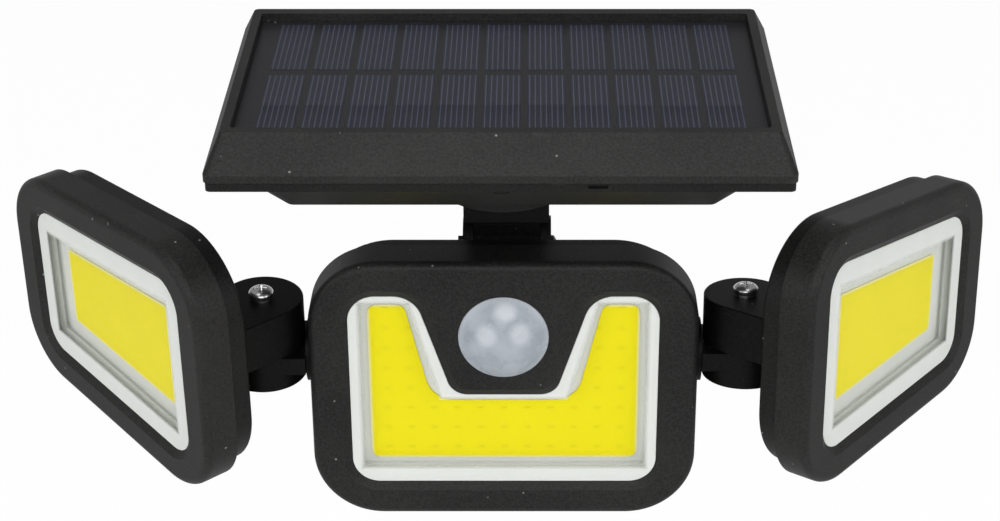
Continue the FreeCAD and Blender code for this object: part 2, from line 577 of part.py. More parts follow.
def head_knuckle():
    """Upper half of the knuckle: a round barrel and the block that joins it to the rear shell."""
    low = KNUCKLE_SPLIT + GAP - SIDE_WINDOW_ABOVE
    high = KNUCKLE_TOP - SIDE_WINDOW_ABOVE
    ends = (AXIS_IN, AXIS_BEHIND, low), (AXIS_IN, AXIS_BEHIND, high)
    sides = (AXIS_IN - KNUCKLE_RADIUS, AXIS_IN + KNUCKLE_RADIUS)
    knuckle = joined([rod(KNUCKLE_RADIUS, *ends), block(sides, (SIDE_BACK, AXIS_BEHIND), (low, high))])
    top = [e for e in knuckle.Edges if e.BoundBox.ZMin > high - 0.01 and e.BoundBox.YMax > SIDE_BACK + 0.01]
    return knuckle.makeFillet(KNUCKLE_EDGE, top).cut(rod(KNUCKLE_SCREW_RADIUS + FIT, *ends))


def arm():
    """A left arm in a frame with its turning axis along X and X = 0 at the knuckle axis."""
    reach = knuckle_out()
    side = CENTRE_HALF_WIDTH
    stub_end = reach - (side - BEARING_LENGTH - CLIP_THICK - STUB_BEYOND)
    stub = rod(STUB_RADIUS, (reach - side - FLANGE_OFF, 0, 0), (stub_end, 0, 0))
    flange_out = reach - side - FLANGE_OFF - FLANGE_THICK
    flange = rod(HUB_RADIUS, (flange_out, 0, 0), (flange_out + FLANGE_THICK, 0, 0))
    bar = block((0, flange_out), (-BAR_HALF_DEPTH, BAR_HALF_DEPTH), (BAR_LOW, BAR_HIGH))
    barrel = rod(KNUCKLE_RADIUS, (0, 0, KNUCKLE_LOW), (0, 0, KNUCKLE_SPLIT))
    barrel = barrel.makeFillet(KNUCKLE_EDGE, [e for e in barrel.Edges if e.BoundBox.ZMax < KNUCKLE_LOW + 0.01])
    solid = joined([stub, flange, bar, barrel])
    groove = tube(STUB_RADIUS + 1, STUB_RADIUS - CLIP_GROOVE, (clip_start(), 0, 0),
                  (clip_start() + CLIP_THICK, 0, 0))
    bore = rod(KNUCKLE_SCREW_RADIUS + FIT, (0, 0, KNUCKLE_LOW), (0, 0, KNUCKLE_SPLIT))
    pocket = hexagon(NUT_FLATS + 2 * SLIP, NUT_THICK + SLIP)
    pocket = towards(pocket, (0, 0, 1), (0, 0, KNUCKLE_LOW))
    return solid.cut([groove, bore, pocket])


def clip_start():
    """Where the retaining clip's groove starts, just inside the bearing."""
    return knuckle_out() - (CENTRE_HALF_WIDTH - BEARING_LENGTH) + SLIP


def arm_pieces():
    clip = tube(CLIP_RADIUS, STUB_RADIUS - CLIP_GROOVE + FIT, (clip_start() + FIT, 0, 0),
                (clip_start() + CLIP_THICK - FIT, 0, 0))
    mouth = STUB_RADIUS - CLIP_GROOVE
    clip = clip.cut(block((clip_start(), clip_start() + CLIP_THICK), (-mouth, mouth), (-CLIP_RADIUS, 0)))
    seat = KNUCKLE_TOP + SPRING_WASHER_THICK
    length = seat - KNUCKLE_LOW + SCREW_TIP
    knuckle_screw = screw(KNUCKLE_SCREW_RADIUS, length, SCREW_HEAD_RADIUS, SCREW_HEAD_RISE)
    knuckle_nut = nut(NUT_FLATS, KNUCKLE_SCREW_RADIUS + FIT, NUT_THICK)
    pocket_top = KNUCKLE_LOW + SLIP
    return {
        "arm": arm(),
        "arm_clip": clip,
        "knuckle_screw": towards(knuckle_screw, (0, 0, 1), (0, 0, seat)),
        "knuckle_nut": towards(knuckle_nut, (0, 0, 1), (0, 0, pocket_top)),
        "spring_washer": tube(SPRING_WASHER, KNUCKLE_SCREW_RADIUS + SLIP, (0, 0, KNUCKLE_TOP), (0, 0, seat)),
    }


def side_placements(side, yaw, roll):
    """Where an arm and its head stand; side is -1 for the left and 1 for the right."""
    axis = Vector(side * knuckle_out(), ARM_AXIS_BEHIND - HEAD_AHEAD, ARM_AXIS_ABOVE + HEAD_ABOVE)
    arm_place = Placement(axis, Rotation(Vector(1, 0, 0), roll))
    turned = Placement(Vector(), Rotation(Vector(0, 0, 1), side * yaw))
    inner = Placement(Vector(side * AXIS_IN, -AXIS_BEHIND, SIDE_WINDOW_ABOVE), Rotation())
    return arm_place, arm_place.multiply(turned).multiply(inner)


def both_sides():
    """The left and right arms and heads, the right one as the mirror image of the left."""
    pieces = {}
    for name, side, yaw, roll in (("left", -1, LEFT_YAW, LEFT_ROLL), ("right", 1, RIGHT_YAW, RIGHT_ROLL)):
        arm_place, head_place = side_placements(side, yaw, roll)
        for source, place in ((arm_pieces(), arm_place), (side_head_pieces(), head_place)):
            for piece, shape in source.items():
                shape = shape if side < 0 else mirrored(shape)
                pieces[name + "_" + piece] = shape.transformed(place.toMatrix())
    return pieces


# ---------------------------------------------------------------- wall side
def wall_plate():
    """Square plate with four countersunk wall screw holes and two screws' seats in its back."""
    half = PLATE_SIZE / 2
    plate = upright_plate(rectangle(-half, half, -half, half, PLATE_CORNER), -PLATE_THICK, 0)
    plate = plate.makeChamfer(PLATE_EDGE, edges_at_depth(plate, -PLATE_THICK))
    cuts = []
    for x in (-WALL_HOLE_SPACING / 2, WALL_HOLE_SPACING / 2):
        for z in (-WALL_HOLE_SPACING / 2, WALL_HOLE_SPACING / 2):
            cuts.append(rod(WALL_HOLE_RADIUS, (x, -PLATE_THICK, z), (x, 0, z)))
            sink = Part.makeCone(WALL_HOLE_SINK_RADIUS, WALL_HOLE_RADIUS, WALL_HOLE_SINK,
                                 Vector(x, -PLATE_THICK, z), Vector(0, 1, 0))
            cuts.append(sink)
    for z in plate_screw_heights():
        cuts.append(rod(CASE_SCREW_RADIUS + SLIP, (0, -PLATE_THICK, z), (0, 0, z)))
        cuts.append(rod(CASE_SCREW_HEAD + SLIP, (0, -CASE_SCREW_SINK, z), (0, 0, z)))
    return plate.cut(cuts)


def plate_screw_heights():
    middle = (PAD_LOW + PAD_HIGH) / 2
    return (middle - PLATE_SCREW_SPACING / 2, middle + PLATE_SCREW_SPACING / 2)


def plate_screw_length():
    return PAD_THICK - PLATE_SCREW_SHORT + PLATE_THICK - CASE_SCREW_SINK


def plate_screws():
    one = screw(CASE_SCREW_RADIUS, plate_screw_length(), CASE_SCREW_HEAD, CASE_SCREW_HEAD_THICK)
    return Part.makeCompound([towards(one, (0, 1, 0), (0, -CASE_SCREW_SINK, z))
                              for z in plate_screw_heights()])


def bracket():
    """Moulded bracket: pad on the plate, an arm forward, a tongue for the head and ears for the neck."""
    (tilt_x, tilt_y, tilt_z), (neck_x, neck_y, neck_z) = hinge_axes()
    pad_front = -PLATE_THICK - PAD_THICK
    pad = upright_plate(rectangle(-PAD_HALF_WIDTH, PAD_HALF_WIDTH, PAD_LOW, PAD_HIGH, PAD_CORNER), pad_front,
                        -PLATE_THICK)
    pad = pad.makeFillet(PAD_EDGE, edges_at_depth(pad, pad_front))
    root_y, sunk = tilt_y + KNEE_BEHIND, pad_front + PAD_EDGE
    low, high = tilt_z - KNEE_HALF_HEIGHT, tilt_z + KNEE_HALF_HEIGHT
    knee = Outline([(root_y, low), (pad_front - 2 * PAD_EDGE, PAD_LOW + KNEE_FOOT), (sunk, PAD_LOW + KNEE_FOOT),
                    (sunk, PAD_HIGH - PAD_EDGE), (root_y + KNEE_BACK, high), (root_y, high)], KNEE_CORNER)
    knee = side_plate(knee, neck_x - EAR_OUT, neck_x + EAR_OUT)
    tongue_half = EAR_OUT - LUG_THICK - GAP
    tongue = link(tilt_y, tilt_z, LUG_RADIUS, tilt_y + EAR_ROOT_BEHIND, tilt_z, TONGUE_ROOT, -tongue_half,
                  tongue_half)
    ears = []
    for side in (-1, 1):
        inner, outer = neck_x + side * (EAR_OUT - EAR_THICK), neck_x + side * EAR_OUT
        ears.append(link(neck_y, neck_z, EAR_RADIUS, tilt_y + EAR_ROOT_BEHIND, tilt_z + EAR_ROOT_ABOVE,
                         EAR_ROOT_RADIUS, min(inner, outer), max(inner, outer)))
    web_front = neck_y + EAR_RADIUS + WEB_BEHIND
    web = block((neck_x - EAR_OUT, neck_x + EAR_OUT), (web_front, web_front + WEB_THICK),
                (neck_z + WEB_LOW, neck_z + WEB_HIGH))
    solid = joined([pad, knee, tongue, web] + ears)
    bores = [rod(HINGE_BOLT_RADIUS + FIT, (x - EAR_OUT, y, z), (x + EAR_OUT, y, z)) for x, y, z in hinge_axes()]
    pilots = [rod(CASE_SCREW_RADIUS + FIT, (0, -PLATE_THICK, z),
                  (0, -CASE_SCREW_SINK - plate_screw_length() - FIT, z)) for z in plate_screw_heights()]
    return solid.cut(bores + pilots)


def hinge_axes():
    """Middle of the centre head's tilt bolt and of the panel's hinge bolt."""
    return ((0, TILT_AXIS_BEHIND - HEAD_AHEAD, HEAD_ABOVE),
            (HINGE_SIDE, NECK_AXIS_BEHIND - HEAD_AHEAD, NECK_AXIS_ABOVE + HEAD_ABOVE))


def hinge_bolts():
    """The two hinge bolts, heads to the right: one tilts the centre head, one the panel's neck."""
    length = 2 * EAR_OUT + HINGE_NUT_THICK + HINGE_BOLT_BEYOND
    one = screw(HINGE_BOLT_RADIUS, length, HINGE_HEAD_RADIUS, HINGE_HEAD_RISE)
    return Part.makeCompound([towards(one, (1, 0, 0), (x + EAR_OUT, y, z)) for x, y, z in hinge_axes()])


def hinge_nuts():
    one = nut(HINGE_NUT_FLATS, HINGE_BOLT_RADIUS + FIT, HINGE_NUT_THICK)
    return Part.makeCompound([towards(one, (-1, 0, 0), (x - EAR_OUT, y, z)) for x, y, z in hinge_axes()])


# ---------------------------------------------------------------- neck, in a frame with the hinge at its origin
def swivel_ahead():
    """The swivel's axis in front of the hinge."""
    return PANEL_FORWARD + BOSS_AHEAD


def neck_top():
    return PANEL_RISE - BOSS_LOW - GAP


def nut_lift():
    """Underside of the captive nut above the hinge."""
    return neck_top() - SWIVEL_NUT_DOWN


def neck_block():
    """Block between the ears that widens above them and leans forward to a round disc under the boss."""
    top, ahead = neck_top(), swivel_ahead()
    half = EAR_OUT - EAR_THICK - SLIP
    left, right = HINGE_SIDE - half, HINGE_SIDE + half
    barrel = rod(EAR_RADIUS - GAP, (left, 0, 0), (right, 0, 0))
    front, low = BLOCK_FRONT, top - BLOCK_DEEP
    lower = Outline([(-STEM_FRONT, 0), (STEM_REAR, 0), (STEM_REAR, SHOULDER_LOW + BLOCK_CORNER),
                     (-STEM_FRONT, SHOULDER_LOW + BLOCK_CORNER)], BLOCK_CORNER / 2)
    upper = Outline([(-STEM_FRONT, SHOULDER_LOW), (STEM_REAR, SHOULDER_LOW),
                     (STEM_REAR - STEM_TAPER, top - NECK_DISC_THICK), (0, top - BLOCK_CORNER),
                     (-front, top - BLOCK_CORNER), (-front, low), (-STEM_FRONT, STEM_TOP)], BLOCK_CORNER)
    stem = side_plate(lower, left, right)
    shoulder = side_plate(upper, HINGE_SIDE - SHOULDER_HALF_WIDTH, HINGE_SIDE + SHOULDER_HALF_WIDTH)
    disc = rod(NECK_DISC_RADIUS, (0, -ahead, top - NECK_DISC_THICK), (0, -ahead, top))
    solid = joined([barrel, stem, shoulder, disc])
    hinge = rod(HINGE_BOLT_RADIUS + FIT, (left, 0, 0), (right, 0, 0))
    bore = rod(SWIVEL_SCREW_RADIUS + FIT, (0, -ahead, nut_lift() - 2 * SWIVEL_TIP), (0, -ahead, top))
    half = SWIVEL_NUT_FLATS / 2 + SLIP
    corner = SWIVEL_NUT_FLATS / math.sqrt(3) + SLIP
    pocket = block((-half, half), (-ahead - corner, STEM_REAR),
                   (nut_lift(), nut_lift() + SWIVEL_NUT_THICK + SLIP))
    return solid.cut([hinge, bore, pocket])


def neck_pieces():
    top, ahead = neck_top(), swivel_ahead()
    captive = nut(SWIVEL_NUT_FLATS, SWIVEL_SCREW_RADIUS + FIT, SWIVEL_NUT_THICK)
    turned = captive.transformed(Placement(Vector(), Rotation(Vector(0, 0, 1), 30)).toMatrix())
    return {
        "neck_block": neck_block(),
        "swivel_nut": towards(turned, (0, 0, 1), (0, -ahead, nut_lift())),
        "swivel_washer": tube(SWIVEL_WASHER, SWIVEL_SCREW_RADIUS + SLIP, (0, -ahead, top),
                              (0, -ahead, top + GAP)),
    }


# ---------------------------------------------------------------- panel, in a frame with its top frame at Z = 0
def rim_outline(inset=0.0):
    return rectangle(-RIM_HALF_WIDTH, RIM_HALF_WIDTH, -RIM_FRONT, RIM_REAR, RIM_CORNER).grown(-inset)


def top_outline(inset=0.0):
    half_width = RIM_HALF_WIDTH - SLOPE_SIDE
    return rectangle(-half_width, half_width, SLOPE_FRONT - RIM_FRONT, RIM_REAR - SLOPE_REAR,
                     PANEL_CORNER).grown(-inset)


def recess_limits():
    """Half width, front and rear of the recess for the cells."""
    return (RIM_HALF_WIDTH - SLOPE_SIDE - FRAME_SIDE, SLOPE_FRONT + FRAME_FRONT - RIM_FRONT,
            RIM_REAR - SLOPE_REAR - FRAME_REAR)


def recess_outline(inset=0.0):
    half_width, front, rear = recess_limits()
    return rectangle(-half_width, half_width, front, rear, RECESS_CORNER).grown(-inset)


def floor_drop():
    """Underside of the floor that carries the solar cells, below the top of the frame."""
    return RECESS_DEPTH + COVER_THICK + CELL_THICK + BACKING_THICK + FRAME_FLOOR


def rim_posts():
    side = RIM_HALF_WIDTH - RIM_POST_SIDE
    return [(x, y) for x in (-side, 0, side) for y in (RIM_POST_FRONT - RIM_FRONT, RIM_REAR - RIM_POST_REAR)]


def panel_frame():
    """Upper housing: raised frame, sloped surround, recess for the cells and six screw posts."""
    slope = flat_slope(rim_outline(), -RIM_DROP, top_outline(), 0)
    rim = flat_plate(rim_outline(), -SEAM_DROP, -RIM_DROP)
    outer = joined([rim, slope])
    recess = flat_plate(recess_outline(), FRAME_FLOOR - floor_drop(), 0)
    knee = -RIM_DROP - RIM_WALL_KNEE
    hollow = joined([flat_plate(rim_outline(PANEL_WALL), -SEAM_DROP, knee),
                     flat_slope(rim_outline(PANEL_WALL), knee, top_outline(PANEL_WALL), -floor_drop())])
    lead_hole = rod(LEAD_HOLE, (0, 0, -floor_drop() - 1), (0, 0, 0))
    shell = outer.cut([recess, hollow, lead_hole])
    post_top = -floor_drop() + FRAME_FLOOR / 2
    posts = [rod(POST_RADIUS, (x, y, -RIM_POST_END), (x, y, post_top)).common(outer) for x, y in rim_posts()]
    pilot_end = RIM_SCREW_BITE + FIT - RIM_POST_END
    pilots = [rod(CASE_SCREW_RADIUS + FIT, (x, y, -RIM_POST_END), (x, y, pilot_end))
              for x, y in rim_posts()]
    return joined([shell] + posts).cut(pilots)


def tray_limits():
    """Half width, front and rear of the tray's flat bottom."""
    return (RIM_HALF_WIDTH - TRAY_SIDE - TRAY_RUN, TRAY_FRONT + TRAY_RUN - RIM_FRONT,
            RIM_REAR - TRAY_REAR - TRAY_RUN)


def tray_outline(grown=0.0):
    half_width, front, rear = tray_limits()
    return rectangle(-half_width, half_width, front, rear, TRAY_CORNER).grown(grown)


def panel_tray():
    """Lower housing: rim, sloping tray for the battery, and the round boss that the neck carries."""
    rim_top = SEAM_DROP + PANEL_SEAL_THICK
    rim = flat_plate(rim_outline(LOWER_STEP), -RIM_LOW, -rim_top)
    tray = flat_slope(tray_outline(), -TRAY_LOW, tray_outline(TRAY_RUN), -RIM_LOW)
    boss = rod(BOSS_RADIUS, (0, -BOSS_AHEAD, -BOSS_LOW), (0, -BOSS_AHEAD, -TRAY_LOW + TRAY_WALL / 2))
    boss = boss.makeFillet(BOSS_EDGE, [e for e in boss.Edges if e.BoundBox.ZMax < 0.01 - BOSS_LOW])
    outer = joined([rim, tray, boss])
    inner_floor = TRAY_LOW - TRAY_WALL
    hollow = flat_slope(tray_outline(-TRAY_WALL), -inner_floor, tray_outline(TRAY_RUN - TRAY_WALL), -RIM_LOW)
    above = flat_plate(tray_outline(TRAY_RUN - TRAY_WALL), -RIM_LOW, -rim_top)
    shell = outer.cut([hollow, above])
    tongue_out = PANEL_SEAL_IN + PANEL_SEAL_WIDTH + 2 * SLIP
    tongue_low, tongue_top = -RIM_LOW + 1, TRAY_TONGUE_RISE - SEAM_DROP
    tongue = flat_plate(rim_outline(tongue_out), tongue_low, tongue_top)
    tongue = tongue.cut(flat_plate(rim_outline(tongue_out + TRAY_TONGUE_THICK), tongue_low, tongue_top))
    keep_clear = [rod(POST_RADIUS + GAP, (x, y, -RIM_POST_END), (x, y, 0)) for x, y in rim_posts()]
    tongue = tongue.cut(keep_clear)
    wells = [rod(RIM_BOSS_RADIUS, (x, y, -TRAY_LOW), (x, y, -RIM_LOW)).common(outer) for x, y in rim_posts()]
    wells += [rod(RIM_BOSS_RADIUS, (x, y, -RIM_LOW), (x, y, -RIM_POST_END)) for x, y in rim_posts()]
    posts = [rod(CHARGE_POST_RADIUS, (x, y, -inner_floor - TRAY_WALL / 2), (x, y, CHARGE_LIFT - inner_floor))
             for x, y in charge_posts()]
    shell = joined([shell, tongue] + wells + posts)
    x, y = button_place()
    cuts = [rod(SWIVEL_SCREW_RADIUS + FIT, (0, -BOSS_AHEAD, -BOSS_LOW), (0, -BOSS_AHEAD, -inner_floor)),
            rod(BUTTON_RADIUS + GAP, (x, y, -TRAY_LOW), (x, y, -inner_floor))]
    slot_z = -(rim_top + RIM_LOW) / 2 + GAP
    slot_front = LOWER_STEP - RIM_FRONT
    cuts.append(block((RIM_SLOT_X - RIM_SLOT_LENGTH / 2, RIM_SLOT_X + RIM_SLOT_LENGTH / 2),
                      (slot_front, slot_front + RIM_SLOT_DEPTH),
                      (slot_z - RIM_SLOT_HEIGHT / 2, slot_z + RIM_SLOT_HEIGHT / 2)))
    for x, y in rim_posts():
        cuts.append(rod(CASE_SCREW_RADIUS + SLIP, (x, y, -RIM_LOW), (x, y, -RIM_POST_END)))
        cuts.append(rod(CASE_SCREW_HEAD + SLIP, (x, y, -TRAY_LOW), (x, y, -RIM_LOW + rim_screw_sink())))
    return shell.cut(cuts)


def rim_screw_sink():
    return CASE_SCREW_HEAD_THICK + SLIP


def charge_limits():
    """Left, right, front and rear of the circuit board in the tray."""
    front = tray_limits()[1] + CHARGE_FROM_FRONT - CHARGE_DEPTH
    return CHARGE_LEFT, CHARGE_LEFT + CHARGE_LENGTH, front, front + CHARGE_DEPTH


def charge_posts():
    left, right, front, rear = charge_limits()
    inset = CHARGE_POST_INSET
    return [(x, y) for x in (left + inset, right - inset) for y in (front + inset, rear - inset)]


def button_place():
    left, right, front, rear = charge_limits()
    return left + BUTTON_IN, (front + rear) / 2


def panel_screws():
    seat = -RIM_LOW + rim_screw_sink()
    length = RIM_SCREW_BITE - RIM_POST_END - seat
    one = screw(CASE_SCREW_RADIUS, length, CASE_SCREW_HEAD, CASE_SCREW_HEAD_THICK)
    return Part.makeCompound([towards(one, (0, 0, -1), (x, y, seat)) for x, y in rim_posts()])


def panel_seal():
    low, high = -SEAM_DROP - PANEL_SEAL_THICK, -SEAM_DROP
    ring = flat_plate(rim_outline(PANEL_SEAL_IN), low, high)
    return ring.cut(flat_plate(rim_outline(PANEL_SEAL_IN + PANEL_SEAL_WIDTH), low, high))


def solar_cells():
    """Two rows of thin cells on the backing sheet, as many as the recess holds."""
    half_width, front, rear = recess_limits()
    low = -(RECESS_DEPTH + COVER_THICK + CELL_THICK)
    columns = int((2 * (half_width - CELL_SIDE) + CELL_PITCH - CELL_WIDTH) / CELL_PITCH)
    rows = ((front + CELL_FRONT, CELL_MIDDLE - CELL_MIDDLE_GAP / 2),
            (CELL_MIDDLE + CELL_MIDDLE_GAP / 2, rear - CELL_REAR))
    cells = []
    for column in range(columns):
        x = (column - (columns - 1) / 2) * CELL_PITCH
        for row in rows:
            cells.append(block((x - CELL_WIDTH / 2, x + CELL_WIDTH / 2), row, (low, low + CELL_THICK)))
    return Part.makeCompound(cells)


def battery_place():
    """Depth and height of the battery's axis."""
    return RIM_REAR - BATTERY_FROM_REAR, -TRAY_LOW + TRAY_WALL + BATTERY_RADIUS + BATTERY_LIFT


def battery():
    """Round rechargeable cell with its raised end contact."""
    half, (y, z) = BATTERY_LENGTH / 2, battery_place()
    cell = rod(BATTERY_RADIUS, (-half, y, z), (half - BATTERY_TIP, y, z))
    return joined([cell, rod(BATTERY_TIP_RADIUS, (half - BATTERY_TIP, y, z), (half, y, z))])


def battery_holder():
    """Open cradle around the lower part of the battery."""
    floor = -TRAY_LOW + TRAY_WALL
    half, (y, z) = BATTERY_LENGTH / 2 + SLIP, battery_place()
    cradle = block((-half - HOLDER_END, half + HOLDER_END), (y - HOLDER_HALF_DEPTH, y + HOLDER_HALF_DEPTH),
                   (floor, floor + HOLDER_HIGH))
    return cradle.cut(rod(BATTERY_RADIUS + SLIP, (-half, y, z), (half, y, z)))


def charge_board():
    """Circuit board with the push switch under it and a few parts on top."""
    left, right, front, rear = charge_limits()
    low = -TRAY_LOW + TRAY_WALL + CHARGE_LIFT
    high = low + CHARGE_THICK
    board = block((left, right), (front, rear), (low, high))
    x, y = button_place()
    switch = block((x - SWITCH_HALF, x + SWITCH_HALF), (y - SWITCH_HALF, y + SWITCH_HALF),
                   (button_top() + BUTTON_TRAVEL + FIT, low))
    chips = [block((right - n * CHIP_PITCH, right - n * CHIP_PITCH + CHIP_LENGTH),
                   (y - CHIP_DEPTH / 2, y + CHIP_DEPTH / 2), (high, high + CHIP_HEIGHT)) for n in (1, 2, 3)]
    return joined([board, switch] + chips)


def button_top():
    return -TRAY_LOW + TRAY_WALL + BUTTON_FLANGE_THICK


def mode_button():
    """Round push button in the tray's floor; its flange keeps it in."""
    (x, y), low, floor = button_place(), -TRAY_LOW - BUTTON_PROUD, -TRAY_LOW + TRAY_WALL
    cap = rod(BUTTON_RADIUS, (x, y, low), (x, y, floor))
    cap = cap.makeFillet(BUTTON_EDGE, [e for e in cap.Edges if e.BoundBox.ZMax < low + 0.01])
    return joined([cap, rod(BUTTON_FLANGE, (x, y, floor), (x, y, button_top()))])


def swivel_screw():
    """Screw from inside the tray, down through the boss into the neck's captive nut."""
    seat = -TRAY_LOW + TRAY_WALL
    length = PANEL_RISE + seat - nut_lift() + SWIVEL_TIP
    one = screw(SWIVEL_SCREW_RADIUS, length, SWIVEL_HEAD_RADIUS, SWIVEL_HEAD_RISE)
    return towards(one, (0, 0, 1), (0, -BOSS_AHEAD, seat))


def panel_pieces():
    backing_low = -floor_drop() + FRAME_FLOOR
    return {
        "panel_frame": panel_frame(),
        "panel_tray": panel_tray(),
        "panel_seal": panel_seal(),
        "panel_screws": panel_screws(),
        "solar_backing": flat_plate(recess_outline(SLIP), backing_low, backing_low + BACKING_THICK),
        "solar_cells": solar_cells(),
        "solar_cover": flat_plate(recess_outline(SLIP), -RECESS_DEPTH - COVER_THICK, -RECESS_DEPTH),
        "battery": battery(),
        "battery_holder": battery_holder(),
        "charge_board": charge_board(),
        "mode_button": mode_button(),
        "swivel_screw": swivel_screw(),
    }


# ---------------------------------------------------------------- the whole light
def all_pieces():
    head_place = Placement(Vector(0, -HEAD_AHEAD, HEAD_ABOVE), Rotation())
    hinge = Vector(0, NECK_AXIS_BEHIND - HEAD_AHEAD, NECK_AXIS_ABOVE + HEAD_ABOVE)
    neck_place = Placement(hinge, Rotation(Vector(1, 0, 0), PANEL_TILT))
    on_neck = Placement(Vector(0, -PANEL_FORWARD, PANEL_RISE), Rotation())
    panel_place = neck_place.multiply(on_neck)

    pieces = {
        "wall_plate": wall_plate(),
        "bracket": bracket(),
        "plate_screws": plate_screws(),
        "hinge_bolts": hinge_bolts(),
        "hinge_nuts": hinge_nuts(),
    }
    for group, place in ((centre_pieces(), head_place), (neck_pieces(), neck_place),
                         (panel_pieces(), panel_place)):
        for name, shape in group.items():
            pieces[name] = shape.transformed(place.toMatrix())
    pieces.update(both_sides())
    return pieces


os.makedirs("parts", exist_ok=True)
for name, shape in all_pieces().items():
    solids = shape.Solids
    print(name, len(solids), "solid" if len(solids) == 1 else "solids", round(shape.Volume), "mm3",
          "valid" if shape.isValid() else "NOT VALID")
    shape.exportStep("parts/" + name + ".step")
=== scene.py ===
# %% [markdown]
# # Solar security light with three lamp heads
# This notebook dresses a finished construction model in Blender. The solid parts come in with the
# frame: every one already stands where it belongs, in metres, with its joints. What is left to do
# here is what the eye judges: the light, the camera, the finishes, and the small pieces whose
# surface is too fine for the construction model, such as the sensor's lens and the screws.

import math
import bpy
import numpy as np
from mathutils import Matrix, Vector


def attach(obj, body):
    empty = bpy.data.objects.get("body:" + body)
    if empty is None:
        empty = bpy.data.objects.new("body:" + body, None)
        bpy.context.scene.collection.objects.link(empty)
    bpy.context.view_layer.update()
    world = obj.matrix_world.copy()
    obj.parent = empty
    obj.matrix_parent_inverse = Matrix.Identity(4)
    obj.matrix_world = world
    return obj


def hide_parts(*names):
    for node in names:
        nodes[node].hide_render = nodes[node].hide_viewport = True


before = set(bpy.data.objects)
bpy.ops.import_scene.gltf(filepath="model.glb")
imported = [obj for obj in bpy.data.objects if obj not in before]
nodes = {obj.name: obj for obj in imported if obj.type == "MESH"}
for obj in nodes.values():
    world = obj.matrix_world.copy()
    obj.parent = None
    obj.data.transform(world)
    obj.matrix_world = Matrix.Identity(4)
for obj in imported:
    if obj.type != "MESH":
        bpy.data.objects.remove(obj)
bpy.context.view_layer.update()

# %% [markdown]
# ## The camera
# The light was photographed from in front and above, close enough for perspective to show. The
# camera stands 66 cm from the wall and looks down by 27 degrees. It stands 9 mm to the right of the
# light's middle, and its picture is shifted sideways by 3 percent of its width, which brings the
# light back to the middle of the picture.

# %% Camera
CAMERA_PLACE = (0.00863, -0.65908, 0.36172)
CAMERA_DOWN = 26.755        # degrees below level
FOCAL_LENGTH = 78.74        # mm, for a sensor 36 mm wide
PICTURE_SHIFT = -0.0326     # share of the picture's width

scene = bpy.context.scene
camera_data = bpy.data.cameras.new("camera")
camera = bpy.data.objects.new("camera", camera_data)
scene.collection.objects.link(camera)
camera_data.sensor_width = 36.0
camera_data.lens = FOCAL_LENGTH
camera_data.shift_x = PICTURE_SHIFT
camera_data.clip_end = 50.0
camera.location = CAMERA_PLACE
camera.rotation_euler = (math.radians(90.0 - CAMERA_DOWN), 0.0, 0.0)
scene.camera = camera
scene.view_settings.view_transform = "Standard"
print("camera at", tuple(round(v, 4) for v in camera.location))

# %% [markdown]
# ## Light
# Black plastic shows its shape only through soft reflections, so the lamps are large and few: a
# broad one behind the camera, a weaker one overhead and a tall one at each side. The world fills
# the shadows evenly. A white thing in this light comes out white, and a colour about as it is
# written.

# %% Lamps
LIGHT_MIDDLE = Vector((0.0, -0.08, 0.05))


def lamp(name, place, width, height, power):
    """A flat lamp, its size in metres and its power in watts, that faces the light's middle."""
    data = bpy.data.lights.new(name, "AREA")
    data.shape = "RECTANGLE"
    data.size = width
    data.size_y = height
    data.energy = power
    made = bpy.data.objects.new(name, data)
    scene.collection.objects.link(made)
    made.location = place
    away = Vector(place) - LIGHT_MIDDLE
    made.rotation_euler = away.to_track_quat("Z", "Y").to_euler()


lamp("lamp_above", (0.0, -0.30, 1.25), 0.9, 0.6, 4.2)
lamp("lamp_front", (0.0, -1.45, 0.75), 1.2, 0.8, 8.2)
lamp("lamp_left", (-1.0, -0.75, 0.45), 0.5, 0.9, 3.0)
lamp("lamp_right", (1.0, -0.75, 0.45), 0.5, 0.9, 3.0)

# %% [markdown]
# The world has to do two jobs. It lights the object with a dim even sky, and it is the white
# backdrop that the camera sees. Light Path tells the kinds of ray apart. Mirror-like rays see the
# white too, near the horizon, and a dimmer ceiling above, as in a studio with a white cove.

# %% World
DIM_SKY = 0.45              # strength of the even light
CEILING = 0.30              # strength overhead for mirror-like rays, which see 1 at the horizon

world = bpy.data.worlds.new("world")
scene.world = world
world.use_nodes = True
sky = world.node_tree
sky.nodes.clear()


def sky_node(kind, settings=None, inputs=None):
    """Adds one node to the world with its settings and the values or links of its sockets."""
    made = sky.nodes.new(kind)
    for key, value in (settings or {}).items():
        setattr(made, key, value)
    for key, value in (inputs or {}).items():
        if isinstance(value, bpy.types.NodeSocket):
            sky.links.new(value, made.inputs[key])
        else:
            made.inputs[key].default_value = value
    return made


sky_path = sky_node("ShaderNodeLightPath").outputs
sky_height = sky_node("ShaderNodeSeparateXYZ",
                      inputs={0: sky_node("ShaderNodeTexCoord").outputs["Generated"]}).outputs["Z"]
cove = sky_node("ShaderNodeMapRange", {"interpolation_type": "SMOOTHSTEP"},
                {"Value": sky_height, "From Min": -0.05, "From Max": 0.30,
                 "To Min": 1.0, "To Max": CEILING})
mirrored_ray = sky_node("ShaderNodeMath", {"operation": "MAXIMUM"},
                        {0: sky_path["Is Glossy Ray"], 1: sky_path["Is Transmission Ray"]})
dim = sky_node("ShaderNodeBackground", inputs={"Strength": DIM_SKY})
cove_light = sky_node("ShaderNodeBackground", inputs={"Strength": cove.outputs[0]})
backdrop = sky_node("ShaderNodeBackground", inputs={"Strength": 1.0})
for shown in (dim, cove_light, backdrop):
    shown.inputs["Color"].default_value = (1.0, 1.0, 1.0, 1.0)
not_camera = sky_node("ShaderNodeMixShader", inputs={0: mirrored_ray.outputs[0], 1: dim.outputs[0],
                                                     2: cove_light.outputs[0]})
